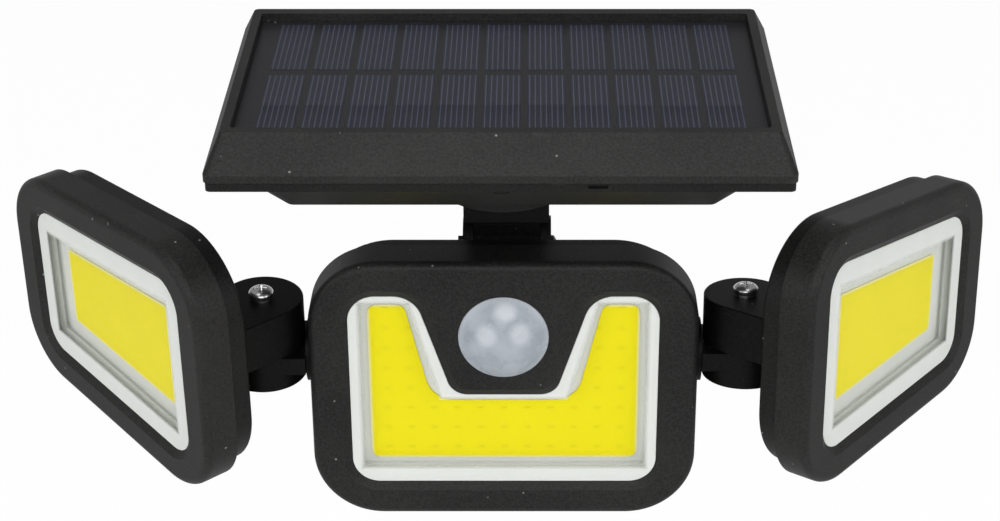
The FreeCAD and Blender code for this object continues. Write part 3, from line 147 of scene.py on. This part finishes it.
pick = sky_node("ShaderNodeMixShader", inputs={0: sky_path["Is Camera Ray"], 1: not_camera.outputs[0],
                                               2: backdrop.outputs[0]})
sky_node("ShaderNodeOutputWorld", inputs={"Surface": pick.outputs[0]})
print("world nodes:", len(sky.nodes))

# %% [markdown]
# ## Shader maths in plain Python
# A finish is a small network of nodes. Wiring it by hand is long, so one class wraps a socket and
# lets sums be written as sums, and one method makes any other node. Numbers that are the same all
# over a surface go straight onto the shader's own sockets.

# %% Wire
class Wire:
    """A socket in a finish. Arithmetic on it adds Math nodes."""

    def __init__(self, finish, socket):
        self.finish, self.socket = finish, socket

    def calc(self, operation, *values):
        return self.finish.calc(operation, *values)

    def larger(self, other):
        return self.calc("MAXIMUM", self, other)

    def smaller(self, other):
        return self.calc("MINIMUM", self, other)

    def __add__(self, other):
        return self.calc("ADD", self, other)

    def __radd__(self, other):
        return self.calc("ADD", other, self)

    def __sub__(self, other):
        return self.calc("SUBTRACT", self, other)

    def __rsub__(self, other):
        return self.calc("SUBTRACT", other, self)

    def __mul__(self, other):
        return self.calc("MULTIPLY", self, other)

    def __rmul__(self, other):
        return self.calc("MULTIPLY", other, self)

    def __truediv__(self, other):
        return self.calc("DIVIDE", self, other)

    def __abs__(self):
        return self.calc("ABSOLUTE", self)

    def ramp(self, low, high):
        """0 below low, 1 above high, smooth between."""
        return self.finish.node("ShaderNodeMapRange", {"interpolation_type": "SMOOTHSTEP"},
                                {"Value": self, "From Min": low, "From Max": high})


print("methods of a wire:", len([name for name in vars(Wire) if callable(getattr(Wire, name))]))

# %% [markdown]
# A finish holds one Principled shader. Its methods give the place of a surface point, noise at a
# scale, a blend of two colours and a relief, and feed a wire into one of the shader's sockets.

# %% Finish
class Finish:
    """A material around one Principled shader."""

    def __init__(self, name, colour, roughness, **uniform):
        self.material = bpy.data.materials.new(name)
        self.material.use_nodes = True
        self.material.diffuse_color = (*colour, 1.0)
        self.tree = self.material.node_tree
        self.shader = self.tree.nodes["Principled BSDF"]
        self.shader.inputs["Base Color"].default_value = (*colour, 1.0)
        self.shader.inputs["Roughness"].default_value = roughness
        for key, value in uniform.items():
            self.shader.inputs[key.replace("_", " ")].default_value = value

    def node(self, kind, settings=None, inputs=(), out=0):
        """Adds a node: first its settings, then the values or links of its sockets."""
        made = self.tree.nodes.new(kind)
        for key, value in (settings or {}).items():
            setattr(made, key, value)
        pairs = inputs.items() if isinstance(inputs, dict) else enumerate(inputs)
        for key, value in pairs:
            if isinstance(value, Wire):
                self.tree.links.new(value.socket, made.inputs[key])
            else:
                made.inputs[key].default_value = value
        return Wire(self, made.outputs[out])

    def calc(self, operation, *values):
        return self.node("ShaderNodeMath", {"operation": operation}, list(values))

    def feed(self, socket, wire):
        self.tree.links.new(wire.socket, self.shader.inputs[socket])

    def place(self):
        """The surface point in the part's own coordinates, in metres."""
        return self.node("ShaderNodeTexCoord", out="Object")

    def along(self, direction, origin=(0.0, 0.0, 0.0)):
        """Distance of the surface point from an origin along a direction."""
        offset = self.node("ShaderNodeVectorMath", {"operation": "SUBTRACT"}, [self.place(), tuple(origin)])
        return self.node("ShaderNodeVectorMath", {"operation": "DOT_PRODUCT"}, [offset, tuple(direction)],
                         out="Value")

    def noise(self, scale, detail=2.0, place=None, rough=0.5):
        """Cloudy values around 0.5; about as many clouds in a metre as the scale says."""
        return self.node("ShaderNodeTexNoise", inputs={"Vector": place or self.place(), "Scale": scale,
                                                       "Detail": detail, "Roughness": rough}, out="Fac")

    def mix(self, factor, first, second):
        """Blend of two colours."""
        values = [v if isinstance(v, Wire) else (*v[:3], 1.0) for v in (first, second)]
        return self.node("ShaderNodeMix", {"data_type": "RGBA"}, {0: factor, 6: values[0], 7: values[1]},
                         out=2)

    def bump(self, height, depth, strength=1.0):
        """Relief of the given depth in metres."""
        self.feed("Normal", self.node("ShaderNodeBump", inputs={"Height": height, "Distance": depth,
                                                                "Strength": strength}, out="Normal"))


def paint(names, finish):
    """Gives a finish to a list of parts."""
    for name in names:
        part = nodes[name]
        if not part.material_slots:
            part.data.materials.append(finish.material)
        for held in part.material_slots:
            held.material = finish.material
    print(finish.material.name, "on", len(names), "part" if len(names) == 1 else "parts")


# %% [markdown]
# ## Black moulded plastic
# The housings are black ABS with a fine spark-eroded grain. The grain scatters the lamps' reflection
# into a soft grey sheen, a few light dust specks sit on it, and here and there a rubbed place is a
# little paler and smoother. The same black is made in four copies that differ only in painted light:
# the fronts and the solar frame are painted lighter, the housings are painted darker as painted shade,
# and the joints are darkest, as deep painted shade.

# %% Black plastic
DARKEST, PALEST = 0.0045, 0.0185        # base colour in the grain's hollows and on its tops
RUBBED_GREY = (0.11, 0.11, 0.108)
DUST_GREY = (0.40, 0.40, 0.38)


# level scales the whole black: above 1 it is painted light, below 1 it is painted shade.
def black_plastic(name, level, sheen, grain=1.0, dust=1.0):
    """Mottled black, fine grain, pale specks of dust and long rubbed streaks."""
    made = Finish(name, (0.011 * level,) * 3, 0.46, Specular_IOR_Level=sheen)
    cloudy = made.noise(30.0, 4.0)
    mottle = made.noise(1500.0, 2.0)
    fine = made.noise(3200.0, 1.0)
    speck_field = made.node("ShaderNodeTexVoronoi", {"feature": "F1"},
                            {"Vector": made.place(), "Scale": 210.0, "Randomness": 1.0}, out="Distance")
    speck_pick = made.noise(160.0, 0.0)
    specks = (1.0 - speck_field.ramp(0.05, 0.10)) * speck_pick.ramp(0.58, 0.68)
    stretched = made.node("ShaderNodeVectorMath", {"operation": "MULTIPLY"},
                          [made.place(), (1.0, 1.0, 7.0)])
    rubbed = made.noise(75.0, 5.0, stretched, 0.7).ramp(0.62, 0.78)
    shade = cloudy * 0.35 + mottle * 0.65
    low, high = DARKEST * level, PALEST * level
    base = made.mix(shade.ramp(0.3, 0.7), (low, low, low * 0.97), (high, high * 0.985, high * 0.95))
    base = made.mix(rubbed * 0.12, base, RUBBED_GREY)
    base = made.mix(specks * (0.55 * dust), base, DUST_GREY)
    made.feed("Base Color", base)
    made.feed("Roughness", 0.42 + shade * 0.10 - rubbed * 0.08 + specks * 0.2)
    made.bump((fine * 0.6 + mottle * 0.6) * grain + specks * 0.6, 0.00008, 0.6)
    return made


# Four copies of one black ABS. Their level paints the fronts and the solar frame lighter, and paints the
# housings and the joints darker as painted shade.
paint(["centre_bezel", "left_head_bezel", "right_head_bezel"],
      black_plastic("face_black_painted_lit", level=1.25, sheen=0.22))
paint(["panel_frame"], black_plastic("panel_black_painted_lit", level=1.3, sheen=0.24))
paint(["panel_tray", "centre_rear_shell", "left_head_rear_shell", "right_head_rear_shell",
       "wall_plate", "bracket", "battery_holder"],
      black_plastic("housing_black_painted_shade", level=0.75, sheen=0.17))
paint(["neck_block", "left_arm", "right_arm", "left_head_knuckle", "right_head_knuckle"],
      black_plastic("joint_black_painted_deep_shade", level=0.35, sheen=0.10, grain=0.7, dust=0.8))

# %% [markdown]
# ## Lamp windows
# Behind each window lies a white frame and a white board that carries one large field of yellow
# phosphor. The frame and the board get a faint tone that wanders, so they do not look like paper.

# %% White frame and board
frame_white = Finish("frame_white", (0.80, 0.82, 0.78), 0.55, Specular_IOR_Level=0.3)
tone = frame_white.noise(55.0, 2.0)
frame_white.feed("Base Color", frame_white.mix(tone, (0.79, 0.81, 0.77), (0.85, 0.87, 0.83)))
frame_white.bump(frame_white.noise(1500.0, 1.0), 0.00001, 0.3)
board_white = Finish("board_white", (0.78, 0.80, 0.75), 0.45, Specular_IOR_Level=0.35)
tone = board_white.noise(90.0, 2.0)
board_white.feed("Base Color", board_white.mix(tone, (0.76, 0.78, 0.73), (0.81, 0.83, 0.78)))
board_white.feed("Roughness", 0.42 + tone * 0.1)
paint([n for n in nodes if n.endswith("_reflector")], frame_white)
paint([n for n in nodes if n.endswith("_led_board")], board_white)

# %% [markdown]
# The phosphor of a side head has to know where its own head points. The two head frames are worked
# out once from the joint angles: an arm turns about the line across the light, and the head turns
# about its upright knuckle pin.

# %% Head frames
HEAD_MIDDLE = Vector((0.0, -0.090, 0.031))
ARM_AXIS = Vector((0.0726, -0.078, 0.0389))                 # the right knuckle
WINDOW_FROM_KNUCKLE = Vector((0.0358, -0.0315, 0.0052))     # before the head is turned
SIDES = {"left": (-1, 48.4, 3.5), "right": (1, 50.7, -4.3)}     # side, then yaw and roll in degrees


def mirrored(place, side):
    """The same place on the left, side -1, or on the right, side 1."""
    return Vector((side * place.x, place.y, place.z))


def head_frame(side, yaw, roll):
    """Middle of a side head's window, and the window's sideways and upward directions."""
    turn = Matrix.Rotation(math.radians(roll), 3, "X") @ Matrix.Rotation(math.radians(side * yaw), 3, "Z")
    middle = mirrored(ARM_AXIS, side) + turn @ mirrored(WINDOW_FROM_KNUCKLE, side)
    return middle, turn @ Vector((1, 0, 0)), turn @ Vector((0, 0, 1))


frames = {"centre": (HEAD_MIDDLE, Vector((1, 0, 0)), Vector((0, 0, 1)))}
for side_name, turned in SIDES.items():
    frames[side_name + "_head"] = head_frame(*turned)
for name, (middle, across, up) in frames.items():
    print(name, "middle", tuple(round(v, 4) for v in middle))

# %% [markdown]
# The window itself is clear plastic over the yellow field, and milky around it, so little of the
# frame's walls behind it shows. One mask does that: it says how far a point lies inside the clear
# part, with a soft step two millimetres wide, and the finish turns it into see-through. In the
# middle head the clear part is a wide U, and in a side head it has four sides.

# %% Milky windows
STEP = 0.001                                                # half the width of the soft step
U_HALF_WIDTH, U_TOP, U_BOTTOM = 0.0430, 0.0298, -0.0270     # clear part of the middle window
NOTCH_HALF_WIDTH, NOTCH_SPREAD, NOTCH_BOTTOM = 0.0196, 0.28, -0.0026
SIDE_HALF_WIDTH, SIDE_HALF_HEIGHT = 0.0335, 0.0205          # clear part of a side window
FLARE = {"centre": 0.0, "left_head": 0.079, "right_head": -0.079}   # rise of the upper edge


def soft(wire):
    """0 outside, 1 inside, with a smooth step where the distance to the edge is nothing."""
    return wire.ramp(-STEP, STEP)


def centre_clear(x, z):
    """Inside the wide U: within its outer sides, and beside or below the notch for the sensor."""
    within = soft(U_HALF_WIDTH - abs(x)).smaller(soft(U_TOP - z)).smaller(soft(z - U_BOTTOM))
    beside = soft(abs(x) - (z * NOTCH_SPREAD + NOTCH_HALF_WIDTH))
    return within.smaller(beside.larger(soft(NOTCH_BOTTOM - z)))


def side_clear(x, z, flare):
    """Inside a four-sided field whose upper and lower edges spread towards the knuckle."""
    edge = x * flare + SIDE_HALF_HEIGHT
    return soft(SIDE_HALF_WIDTH - abs(x)).smaller(soft(edge - z)).smaller(soft(edge + z))


for name, (middle, across, up) in frames.items():
    window = Finish(name + "_window", (0.80, 0.82, 0.785), 0.35, Specular_IOR_Level=0.25)
    x, z = window.along(across, middle), window.along(up, middle)
    clear = centre_clear(x, z) if name == "centre" else side_clear(x, z, FLARE[name])
    haze = window.noise(140.0, 3.0)
    window.feed("Base Color", window.mix(haze, (0.78, 0.80, 0.765), (0.83, 0.85, 0.815)))
    window.feed("Roughness", 0.30 + haze * 0.10)
    window.feed("Alpha", 0.97 - clear * 0.962)
    paint([name + "_lens"], window)

# %% [markdown]
# The LED dies under the phosphor stand in rows and columns and shine through as faint, short, darker
# dashes. Each dash could be a small piece, but it has no height, so it belongs to the finish: it is
# dark where a point is near both a row and a column. The field's rim fades towards white.

# %% Phosphor with its rows of dies
DIE_COLUMNS, DIE_ROWS = 0.00705, 0.00687
RIM_INSIDE, RIM_OUTSIDE = 0.0011, 0.0001    # the pale rim starts and ends this far from the edge
CENTRE_FIELD = (0.0406, 0.0255, 0.0275)     # half width, reach down and reach up of the yellow
SIDE_FIELD = (0.0279, 0.0152, 0.0152)


def repeats(finish, wire):
    """Distance to the nearest whole number: 0 on it, 0.5 halfway between two."""
    return abs(finish.calc("FRACT", wire + 100.5) - 0.5)


def pale_rim(distance, reach):
    """0 inside the field, 1 from its edge on."""
    return distance.ramp(reach - RIM_INSIDE, reach + RIM_OUTSIDE)


def phosphor(name, middle, across, up, field, flare, strength, pale):
    """Yellow layer. Dies every 7.05 mm across and 6.87 mm up show as dashes; its rim fades to white."""
    half_width, down, top = field
    made = Finish(name, (0.90, 0.79, 0.002), 0.5, Specular_IOR_Level=0.06)
    x, z = made.along(across, middle), made.along(up, middle)
    dash = (1.0 - repeats(made, x / DIE_COLUMNS).ramp(0.11, 0.17)) * (
        1.0 - repeats(made, (z + 0.0009) / DIE_ROWS).ramp(0.022, 0.065))
    cloud = made.noise(70.0, 3.0)
    widening = x * flare
    rim = pale_rim(abs(x), half_width).larger(pale_rim(z - widening, top))
    rim = rim.larger(pale_rim(0.0 - z - widening, down))
    base = made.mix(cloud, (0.885, 0.775, 0.0 + pale), (0.93, 0.825, 0.001 + pale))
    base = made.mix(dash * strength, base, (0.42, 0.36, 0.02))
    base = made.mix(rim * 0.75, base, (0.83, 0.82, 0.62))
    made.feed("Base Color", base)
    made.feed("Roughness", 0.45 + cloud * 0.1)
    made.bump(cloud, 0.00008, 0.4)
    return made


for name, (middle, across, up) in frames.items():
    field, strength, pale = (CENTRE_FIELD, 0.34, 0.0) if name == "centre" else (SIDE_FIELD, 0.10, 0.035)
    look = phosphor(name + "_phosphor", middle, across, up, field, FLARE[name], strength, pale)
    paint([name + "_phosphor"], look)

# %% [markdown]
# ## Solar field
# The cells are dark blue-grey silicon strips with thin silver lines that run from front to back.
# They lie on a black backing under a clear, glossy sheet, which shows as a soft sheen.

# %% Cells, backing and cover
CELL_PITCH = 0.0125
FINGERS = 8.0               # silver lines in one pitch

cell_dark = Finish("cell_dark", (0.020, 0.022, 0.033), 0.30, Specular_IOR_Level=0.4)
in_cell = cell_dark.calc("FRACT", cell_dark.along((1.0, 0.0, 0.0)) / CELL_PITCH + 100.5)
silver = 1.0 - repeats(cell_dark, in_cell * FINGERS).ramp(0.06, 0.13)
grain = cell_dark.noise(420.0, 4.0)
silicon = cell_dark.mix(grain, (0.016, 0.019, 0.033), (0.027, 0.032, 0.052))
cell_dark.feed("Base Color", cell_dark.mix(silver * 0.62, silicon, (0.15, 0.165, 0.24)))
cell_dark.feed("Roughness", 0.30 + grain * 0.12)
backing_black = Finish("backing_black", (0.020, 0.020, 0.0225), 0.35, Specular_IOR_Level=0.3)
weave = backing_black.noise(600.0, 2.0)
backing_black.feed("Base Color", backing_black.mix(weave, (0.016, 0.016, 0.018), (0.026, 0.026, 0.029)))
cover_clear = Finish("cover_clear", (0.03, 0.03, 0.034), 0.22, Alpha=0.16, Specular_IOR_Level=0.2)
cover_clear.feed("Roughness", 0.18 + cover_clear.noise(30.0, 3.0) * 0.08)
paint(["solar_cells"], cell_dark)
paint(["solar_backing"], backing_black)
paint(["solar_cover"], cover_clear)

# %% [markdown]
# ## Steel
# Screws, nuts, washers and clips are zinc-plated steel: bright, slightly cloudy, with fine turning
# marks. The hinge bolts and their nuts are blackened.

# %% Steel
FASTENERS = ("_screws", "_screw", "_bolts", "_nuts", "_nut", "_washer", "_clip")


def plated_steel(name):
    """Zinc plating: its colour and gloss are cloudy, and turning marks give a fine relief."""
    made = Finish(name, (0.62, 0.62, 0.63), 0.28, Metallic=1.0)
    cloud = made.noise(500.0, 3.0)
    marks = made.noise(2700.0, 2.0)
    made.feed("Base Color", made.mix(cloud, (0.52, 0.52, 0.53), (0.74, 0.74, 0.75)))
    made.feed("Roughness", 0.20 + cloud * 0.18)
    made.bump(marks, 0.00001, 0.4)
    return made


steel = plated_steel("plated_steel")
dark_steel = Finish("dark_steel", (0.018, 0.018, 0.018), 0.34, Specular_IOR_Level=0.6)
dark_steel.feed("Roughness", 0.28 + dark_steel.noise(600.0) * 0.14)
dark_steel.bump(dark_steel.noise(2500.0, 2.0), 0.00001, 0.4)
paint([n for n in nodes if n.endswith(FASTENERS)] + ["sensor_can"], steel)
paint(["hinge_bolts", "hinge_nuts"], dark_steel)

# %% [markdown]
# ## Rubber, boards and the battery
# The seals are soft black rubber, and the button is a paler one. The boards and the battery are only
# seen when the housing is open, so their finishes are simple.

# %% Rubber and the inner parts
rubber = Finish("seal_rubber", (0.02, 0.02, 0.02), 0.75, Specular_IOR_Level=0.3)
rubber.bump(rubber.noise(1800.0, 2.0), 0.00002, 0.5)
rubber.feed("Roughness", 0.68 + rubber.noise(80.0) * 0.14)
button_rubber = Finish("button_rubber", (0.12, 0.12, 0.12), 0.6, Specular_IOR_Level=0.35)
button_rubber.bump(button_rubber.noise(1500.0, 2.0), 0.00002, 0.5)
button_rubber.feed("Roughness", 0.55 + button_rubber.noise(120.0) * 0.12)
board_green = Finish("board_green", (0.01, 0.09, 0.03), 0.35, Specular_IOR_Level=0.5)
tracks = board_green.noise(350.0, 1.0).ramp(0.48, 0.52)
board_green.feed("Base Color", board_green.mix(tracks, (0.008, 0.07, 0.025), (0.015, 0.12, 0.045)))
board_green.feed("Roughness", 0.30 + tracks * 0.1)
battery_blue = Finish("battery_blue", (0.01, 0.05, 0.22), 0.32)
wrinkle = battery_blue.noise(160.0, 3.0)
battery_blue.feed("Base Color", battery_blue.mix(wrinkle, (0.008, 0.04, 0.19), (0.015, 0.07, 0.28)))
battery_blue.bump(wrinkle, 0.0001, 0.3)
paint([n for n in nodes if n.endswith("_seal")], rubber)
paint(["mode_button"], button_rubber)
paint(["sensor_board", "charge_board"], board_green)
paint(["battery"], battery_blue)

# %% [markdown]
# ## Surfaces from grids
# New pieces are grids of points worked out with numpy. One helper turns a grid into a mesh: each row
# of points can close on itself, as round a screw.

# %% Grid to mesh
def grid_piece(name, points, finish, closed=True):
    """Mesh from an array of points [rows, columns, 3]; columns close on themselves if closed."""
    rows, columns = points.shape[:2]
    index = np.arange(rows * columns).reshape(rows, columns)
    if closed:
        index = np.concatenate([index, index[:, :1]], axis=1)
    faces = np.stack([index[:-1, :-1], index[:-1, 1:], index[1:, 1:], index[1:, :-1]], axis=-1)
    data = bpy.data.meshes.new(name)
    data.from_pydata(points.reshape(-1, 3).tolist(), [], faces.reshape(-1, 4).tolist())
    data.validate()
    made = bpy.data.objects.new(name, data)
    scene.collection.objects.link(made)
    data.polygons.foreach_set("use_smooth", np.full(len(data.polygons), True))
    data.materials.append(finish.material)
    print(name, "faces:", len(data.polygons))
    return made


def ring(radius, turn, height):
    """One circle of points at a height, as a row of a grid."""
    return np.stack([radius * np.cos(turn), radius * np.sin(turn), np.full_like(turn, height)],
                    axis=-1)[None]


# %% [markdown]
# ## The sensor's lens
# The round cap in the middle head is a milky lens. Its surface is moulded in small facets, each a
# fresnel lens that gathers heat from one direction, so fine arcs run across it. The cap is a
# surface of revolution whose height has a small saw-tooth on it, which fades out at the rim.

# %% Sensor lens
LENS_RADIUS, LENS_RISE, LENS_WALL = 0.0134, 0.0052, 0.0012
FLANGE_RADIUS, FLANGE_TOP, FLANGE_THICKNESS = 0.0150, -0.0021, 0.0010
FACET_WIDTH, FACET_HEIGHT = 0.0062, 0.0068
GROOVE_PITCH, GROOVE_DEPTH = 0.00062, 0.00006
LENS_POLE = 0.00002         # radius of the first ring, at the cap's middle


def sensor_lens():
    """Height over the face = sphere cap - a saw-tooth of the distance from each facet's own centre.

    The outline then runs down the side, out along the flange, and back up inside as a smaller cap.
    """
    ball = (LENS_RADIUS ** 2 + LENS_RISE ** 2) / (2 * LENS_RISE)
    turn = np.linspace(0, 2 * np.pi, 240, endpoint=False)
    r = np.linspace(LENS_POLE, LENS_RADIUS, 110)[:, None] * np.ones_like(turn)
    x, z = r * np.cos(turn), r * np.sin(turn)
    cap = np.sqrt(ball ** 2 - r ** 2) - (ball - LENS_RISE)
    column = np.round(x / FACET_WIDTH)
    row = np.floor((z + LENS_RADIUS) / FACET_HEIGHT)
    away = np.hypot(x - column * FACET_WIDTH, z + LENS_RADIUS - (row + 0.5) * FACET_HEIGHT)
    tooth = (away / GROOVE_PITCH) % 1.0
    fade = np.clip((LENS_RADIUS - r) / LENS_WALL, 0, 1)
    parts = [np.stack([x, z, cap - GROOVE_DEPTH * tooth * fade], axis=-1)]
    under = FLANGE_TOP - FLANGE_THICKNESS
    inner_radius = LENS_RADIUS - LENS_WALL
    for radius, height in ((LENS_RADIUS, 0.0), (LENS_RADIUS, FLANGE_TOP), (FLANGE_RADIUS, FLANGE_TOP),
                           (FLANGE_RADIUS, under), (inner_radius, under), (inner_radius, -0.0010)):
        parts.append(ring(radius, turn, height))
    inner = np.linspace(inner_radius, LENS_POLE, 40)[:, None] * np.ones_like(turn)
    height = np.sqrt((ball - LENS_WALL) ** 2 - inner ** 2) - (ball - LENS_RISE)
    parts.append(np.stack([inner * np.cos(turn), inner * np.sin(turn), height], axis=-1))
    return np.concatenate(parts)


print("sensor lens points:", sensor_lens().shape)

# %% [markdown]
# Three soft bright places show in the cap: one high in the middle and one at each side. They are
# painted highlights: pale spots in the colour, with a smooth fall-off from their middle, for the light
# that the milky plastic lets in and its facets gather. The rim is a little paler too.

# %% Milky finish and the cap in its place
SENSOR_MIDDLE = HEAD_MIDDLE + Vector((0, -0.0015, 0.0190))
PAINTED_HIGHLIGHT_SPOTS = (            # sideways and upward place, size, and how much taller than wide
    (0.0008, 0.0098, 0.0044, 0.8),
    (-0.0050, 0.0028, 0.0042, 1.1),
    (0.0050, 0.0034, 0.0042, 1.1),
)

lens_milky = Finish("lens_milky", (0.50, 0.545, 0.60), 0.30, Specular_IOR_Level=0.5)
milk = lens_milky.noise(190.0, 3.0)
across_cap = lens_milky.along((1, 0, 0), SENSOR_MIDDLE)
up_cap = lens_milky.along((0, 0, 1), SENSOR_MIDDLE)


def cap_distance(middle_x, middle_z, tall=1.0):
    """Distance from a point of the cap; tall stretches the measure upright."""
    dx, dz = across_cap - middle_x, (up_cap - middle_z) / tall
    return lens_milky.calc("SQRT", dx * dx + dz * dz)


# Painted highlight: the cap's colour is made paler in three soft spots.
painted_highlight = None
for spot_x, spot_z, spot_size, tall in PAINTED_HIGHLIGHT_SPOTS:
    spot = 1.0 - cap_distance(spot_x, spot_z, tall).ramp(spot_size * 0.35, spot_size)
    painted_highlight = spot if painted_highlight is None else painted_highlight.larger(spot)
rim_pale = cap_distance(0.0, 0.0).ramp(0.0112, 0.0132)
milky = lens_milky.mix(milk.ramp(0.3, 0.7), (0.345, 0.385, 0.435), (0.425, 0.465, 0.515))
milky = lens_milky.mix(painted_highlight * 0.8, milky, (0.62, 0.66, 0.70))
milky = lens_milky.mix(rim_pale * 0.45, milky, (0.58, 0.62, 0.66))
lens_milky.feed("Base Color", milky)
lens_milky.feed("Roughness", 0.22 + milk * 0.12)
points = sensor_lens()
points = np.stack([points[..., 0], -points[..., 2], points[..., 1]], axis=-1) + np.array(SENSOR_MIDDLE)
sensor = grid_piece("sensor_lens", points, lens_milky)
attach(sensor, "centre_head")
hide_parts("sensor_dome")

# %% [markdown]
# ## The knuckle screws
# Each knuckle is held by a pan-head screw that everyone sees from the front. Its head has an upright
# side, a rounded shoulder and a cross recess with sloping walls, and its tip with the thread sticks
# out below. One grid makes it all: rings run from the middle of the head out, down the side, in under
# the head and down the shank. The recess lowers the middle of the head, and the thread changes the
# radius of the shank with the turn and the height.

# %% Cross screw
SCREW_HEAD_RADIUS, SCREW_HEAD_RISE = 0.00375, 0.0027
SCREW_SHANK, SCREW_LENGTH, THREAD_PITCH = 0.00195, 0.0283, 0.0007
RECESS_REACH, RECESS_WIDTH = 0.60, 0.13         # half the cross, as shares of the head's radius
RECESS_DEPTH, THREAD_DEPTH = 0.62, 0.16         # shares of the head's rise and of the shank


def recess_arm(lengthways, sideways):
    """How far inside one bar of the cross a point is: 0 at its edge, 1 where it is full depth."""
    reach, width = SCREW_HEAD_RADIUS * RECESS_REACH, SCREW_HEAD_RADIUS * RECESS_WIDTH
    return np.minimum((reach - abs(lengthways)) / (reach * 0.45), (width - abs(sideways)) / (width * 0.6))


def cross_screw():
    """Head height = dome - recess; recess = depth x how far inside a tapering cross the point is.

    Shank radius = shank x (1 - a share of a triangle wave of height / pitch - turn / full turn).
    """
    turn = np.linspace(0, 2 * np.pi, 96, endpoint=False)
    share = np.concatenate([np.linspace(0.002, 0.72, 40), np.linspace(0.74, 1.0, 12)])[:, None]
    r = share * SCREW_HEAD_RADIUS * np.ones_like(turn)
    x, y = r * np.cos(turn), r * np.sin(turn)
    dome = SCREW_HEAD_RISE * (1 - 0.30 * share ** 2 - 0.22 * share ** 8)
    inside = np.maximum(recess_arm(x, y), recess_arm(y, x))
    top = dome - SCREW_HEAD_RISE * RECESS_DEPTH * np.clip(inside, 0, 1)
    rings = [np.stack([x, y, top * np.ones_like(turn)], axis=-1)]
    for radius, height in ((1.0, SCREW_HEAD_RISE * 0.42), (1.0, SCREW_HEAD_RISE * 0.05), (0.97, 0.0)):
        rings.append(ring(radius * SCREW_HEAD_RADIUS, turn, height))
    z = np.linspace(-0.00002, -SCREW_LENGTH, 300)[:, None] * np.ones_like(turn)
    wave = abs((z / THREAD_PITCH - turn / (2 * np.pi)) % 1.0 - 0.5) * 2
    taper = np.clip((SCREW_LENGTH + z) / (SCREW_SHANK * 1.2), 0.05, 1)
    radius = SCREW_SHANK * (1 - THREAD_DEPTH * wave) * taper ** 0.5
    rings.append(np.stack([radius * np.cos(turn), radius * np.sin(turn), z], axis=-1))
    rings.append(ring(0.01 * SCREW_SHANK, turn, -SCREW_LENGTH))
    return np.concatenate(rings)


print("screw points:", cross_screw().shape)

# %% [markdown]
# The same screw stands in both knuckles. Its axis leans with the arm's roll, so the points are
# turned first and then moved to the seat of the head.

# %% Screws in their knuckles
SCREW_SEAT = 0.0188         # from the arm's axis up to the screw head


def stand(points, place, direction):
    """Turns points built along +Z so that they point along a direction, and moves them to a place."""
    turn = Vector((0, 0, 1)).rotation_difference(Vector(direction)).to_matrix()
    return points @ np.array(turn).T + np.array(place)


for side_name, (side, _, roll) in SIDES.items():
    pin = Matrix.Rotation(math.radians(roll), 3, "X") @ Vector((0, 0, 1))
    seat = mirrored(ARM_AXIS, side) + pin * SCREW_SEAT
    fixing = grid_piece(side_name + "_cross_screw", stand(cross_screw(), seat, pin), steel)
    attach(fixing, side_name + "_arm")
    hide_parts(side_name + "_knuckle_screw")

# %% [markdown]
# ## The floor
# A plain pale floor lies below the light. The camera sees it mostly as the white of the backdrop,
# and a part of its real shading stays, so the light's soft shadow still shows on it.

# %% Floor
FLOOR_HEIGHT, FLOOR_REACH = -0.42, 6
WHITE_SHARE = 0.9           # how much of the floor the camera sees as plain white

floor_finish = Finish("floor_pale", (0.86, 0.86, 0.86), 0.9, Specular_IOR_Level=0.0)
white_light = floor_finish.node("ShaderNodeEmission", inputs={"Color": (1.0, 1.0, 1.0, 1.0),
                                                              "Strength": 1.04})
seen = floor_finish.node("ShaderNodeLightPath", out="Is Camera Ray") * WHITE_SHARE
shaded = Wire(floor_finish, floor_finish.shader.outputs[0])
blend = floor_finish.node("ShaderNodeMixShader", inputs={0: seen, 1: shaded, 2: white_light})
floor_finish.tree.links.new(blend.socket, floor_finish.tree.nodes["Material Output"].inputs["Surface"])
steps = np.linspace(-FLOOR_REACH, FLOOR_REACH, 13)
u, v = np.meshgrid(steps, steps, indexing="xy")
floor = grid_piece("floor", np.stack([u, v, np.full_like(u, FLOOR_HEIGHT)], axis=-1), floor_finish,
                   closed=False)

# %% [markdown]
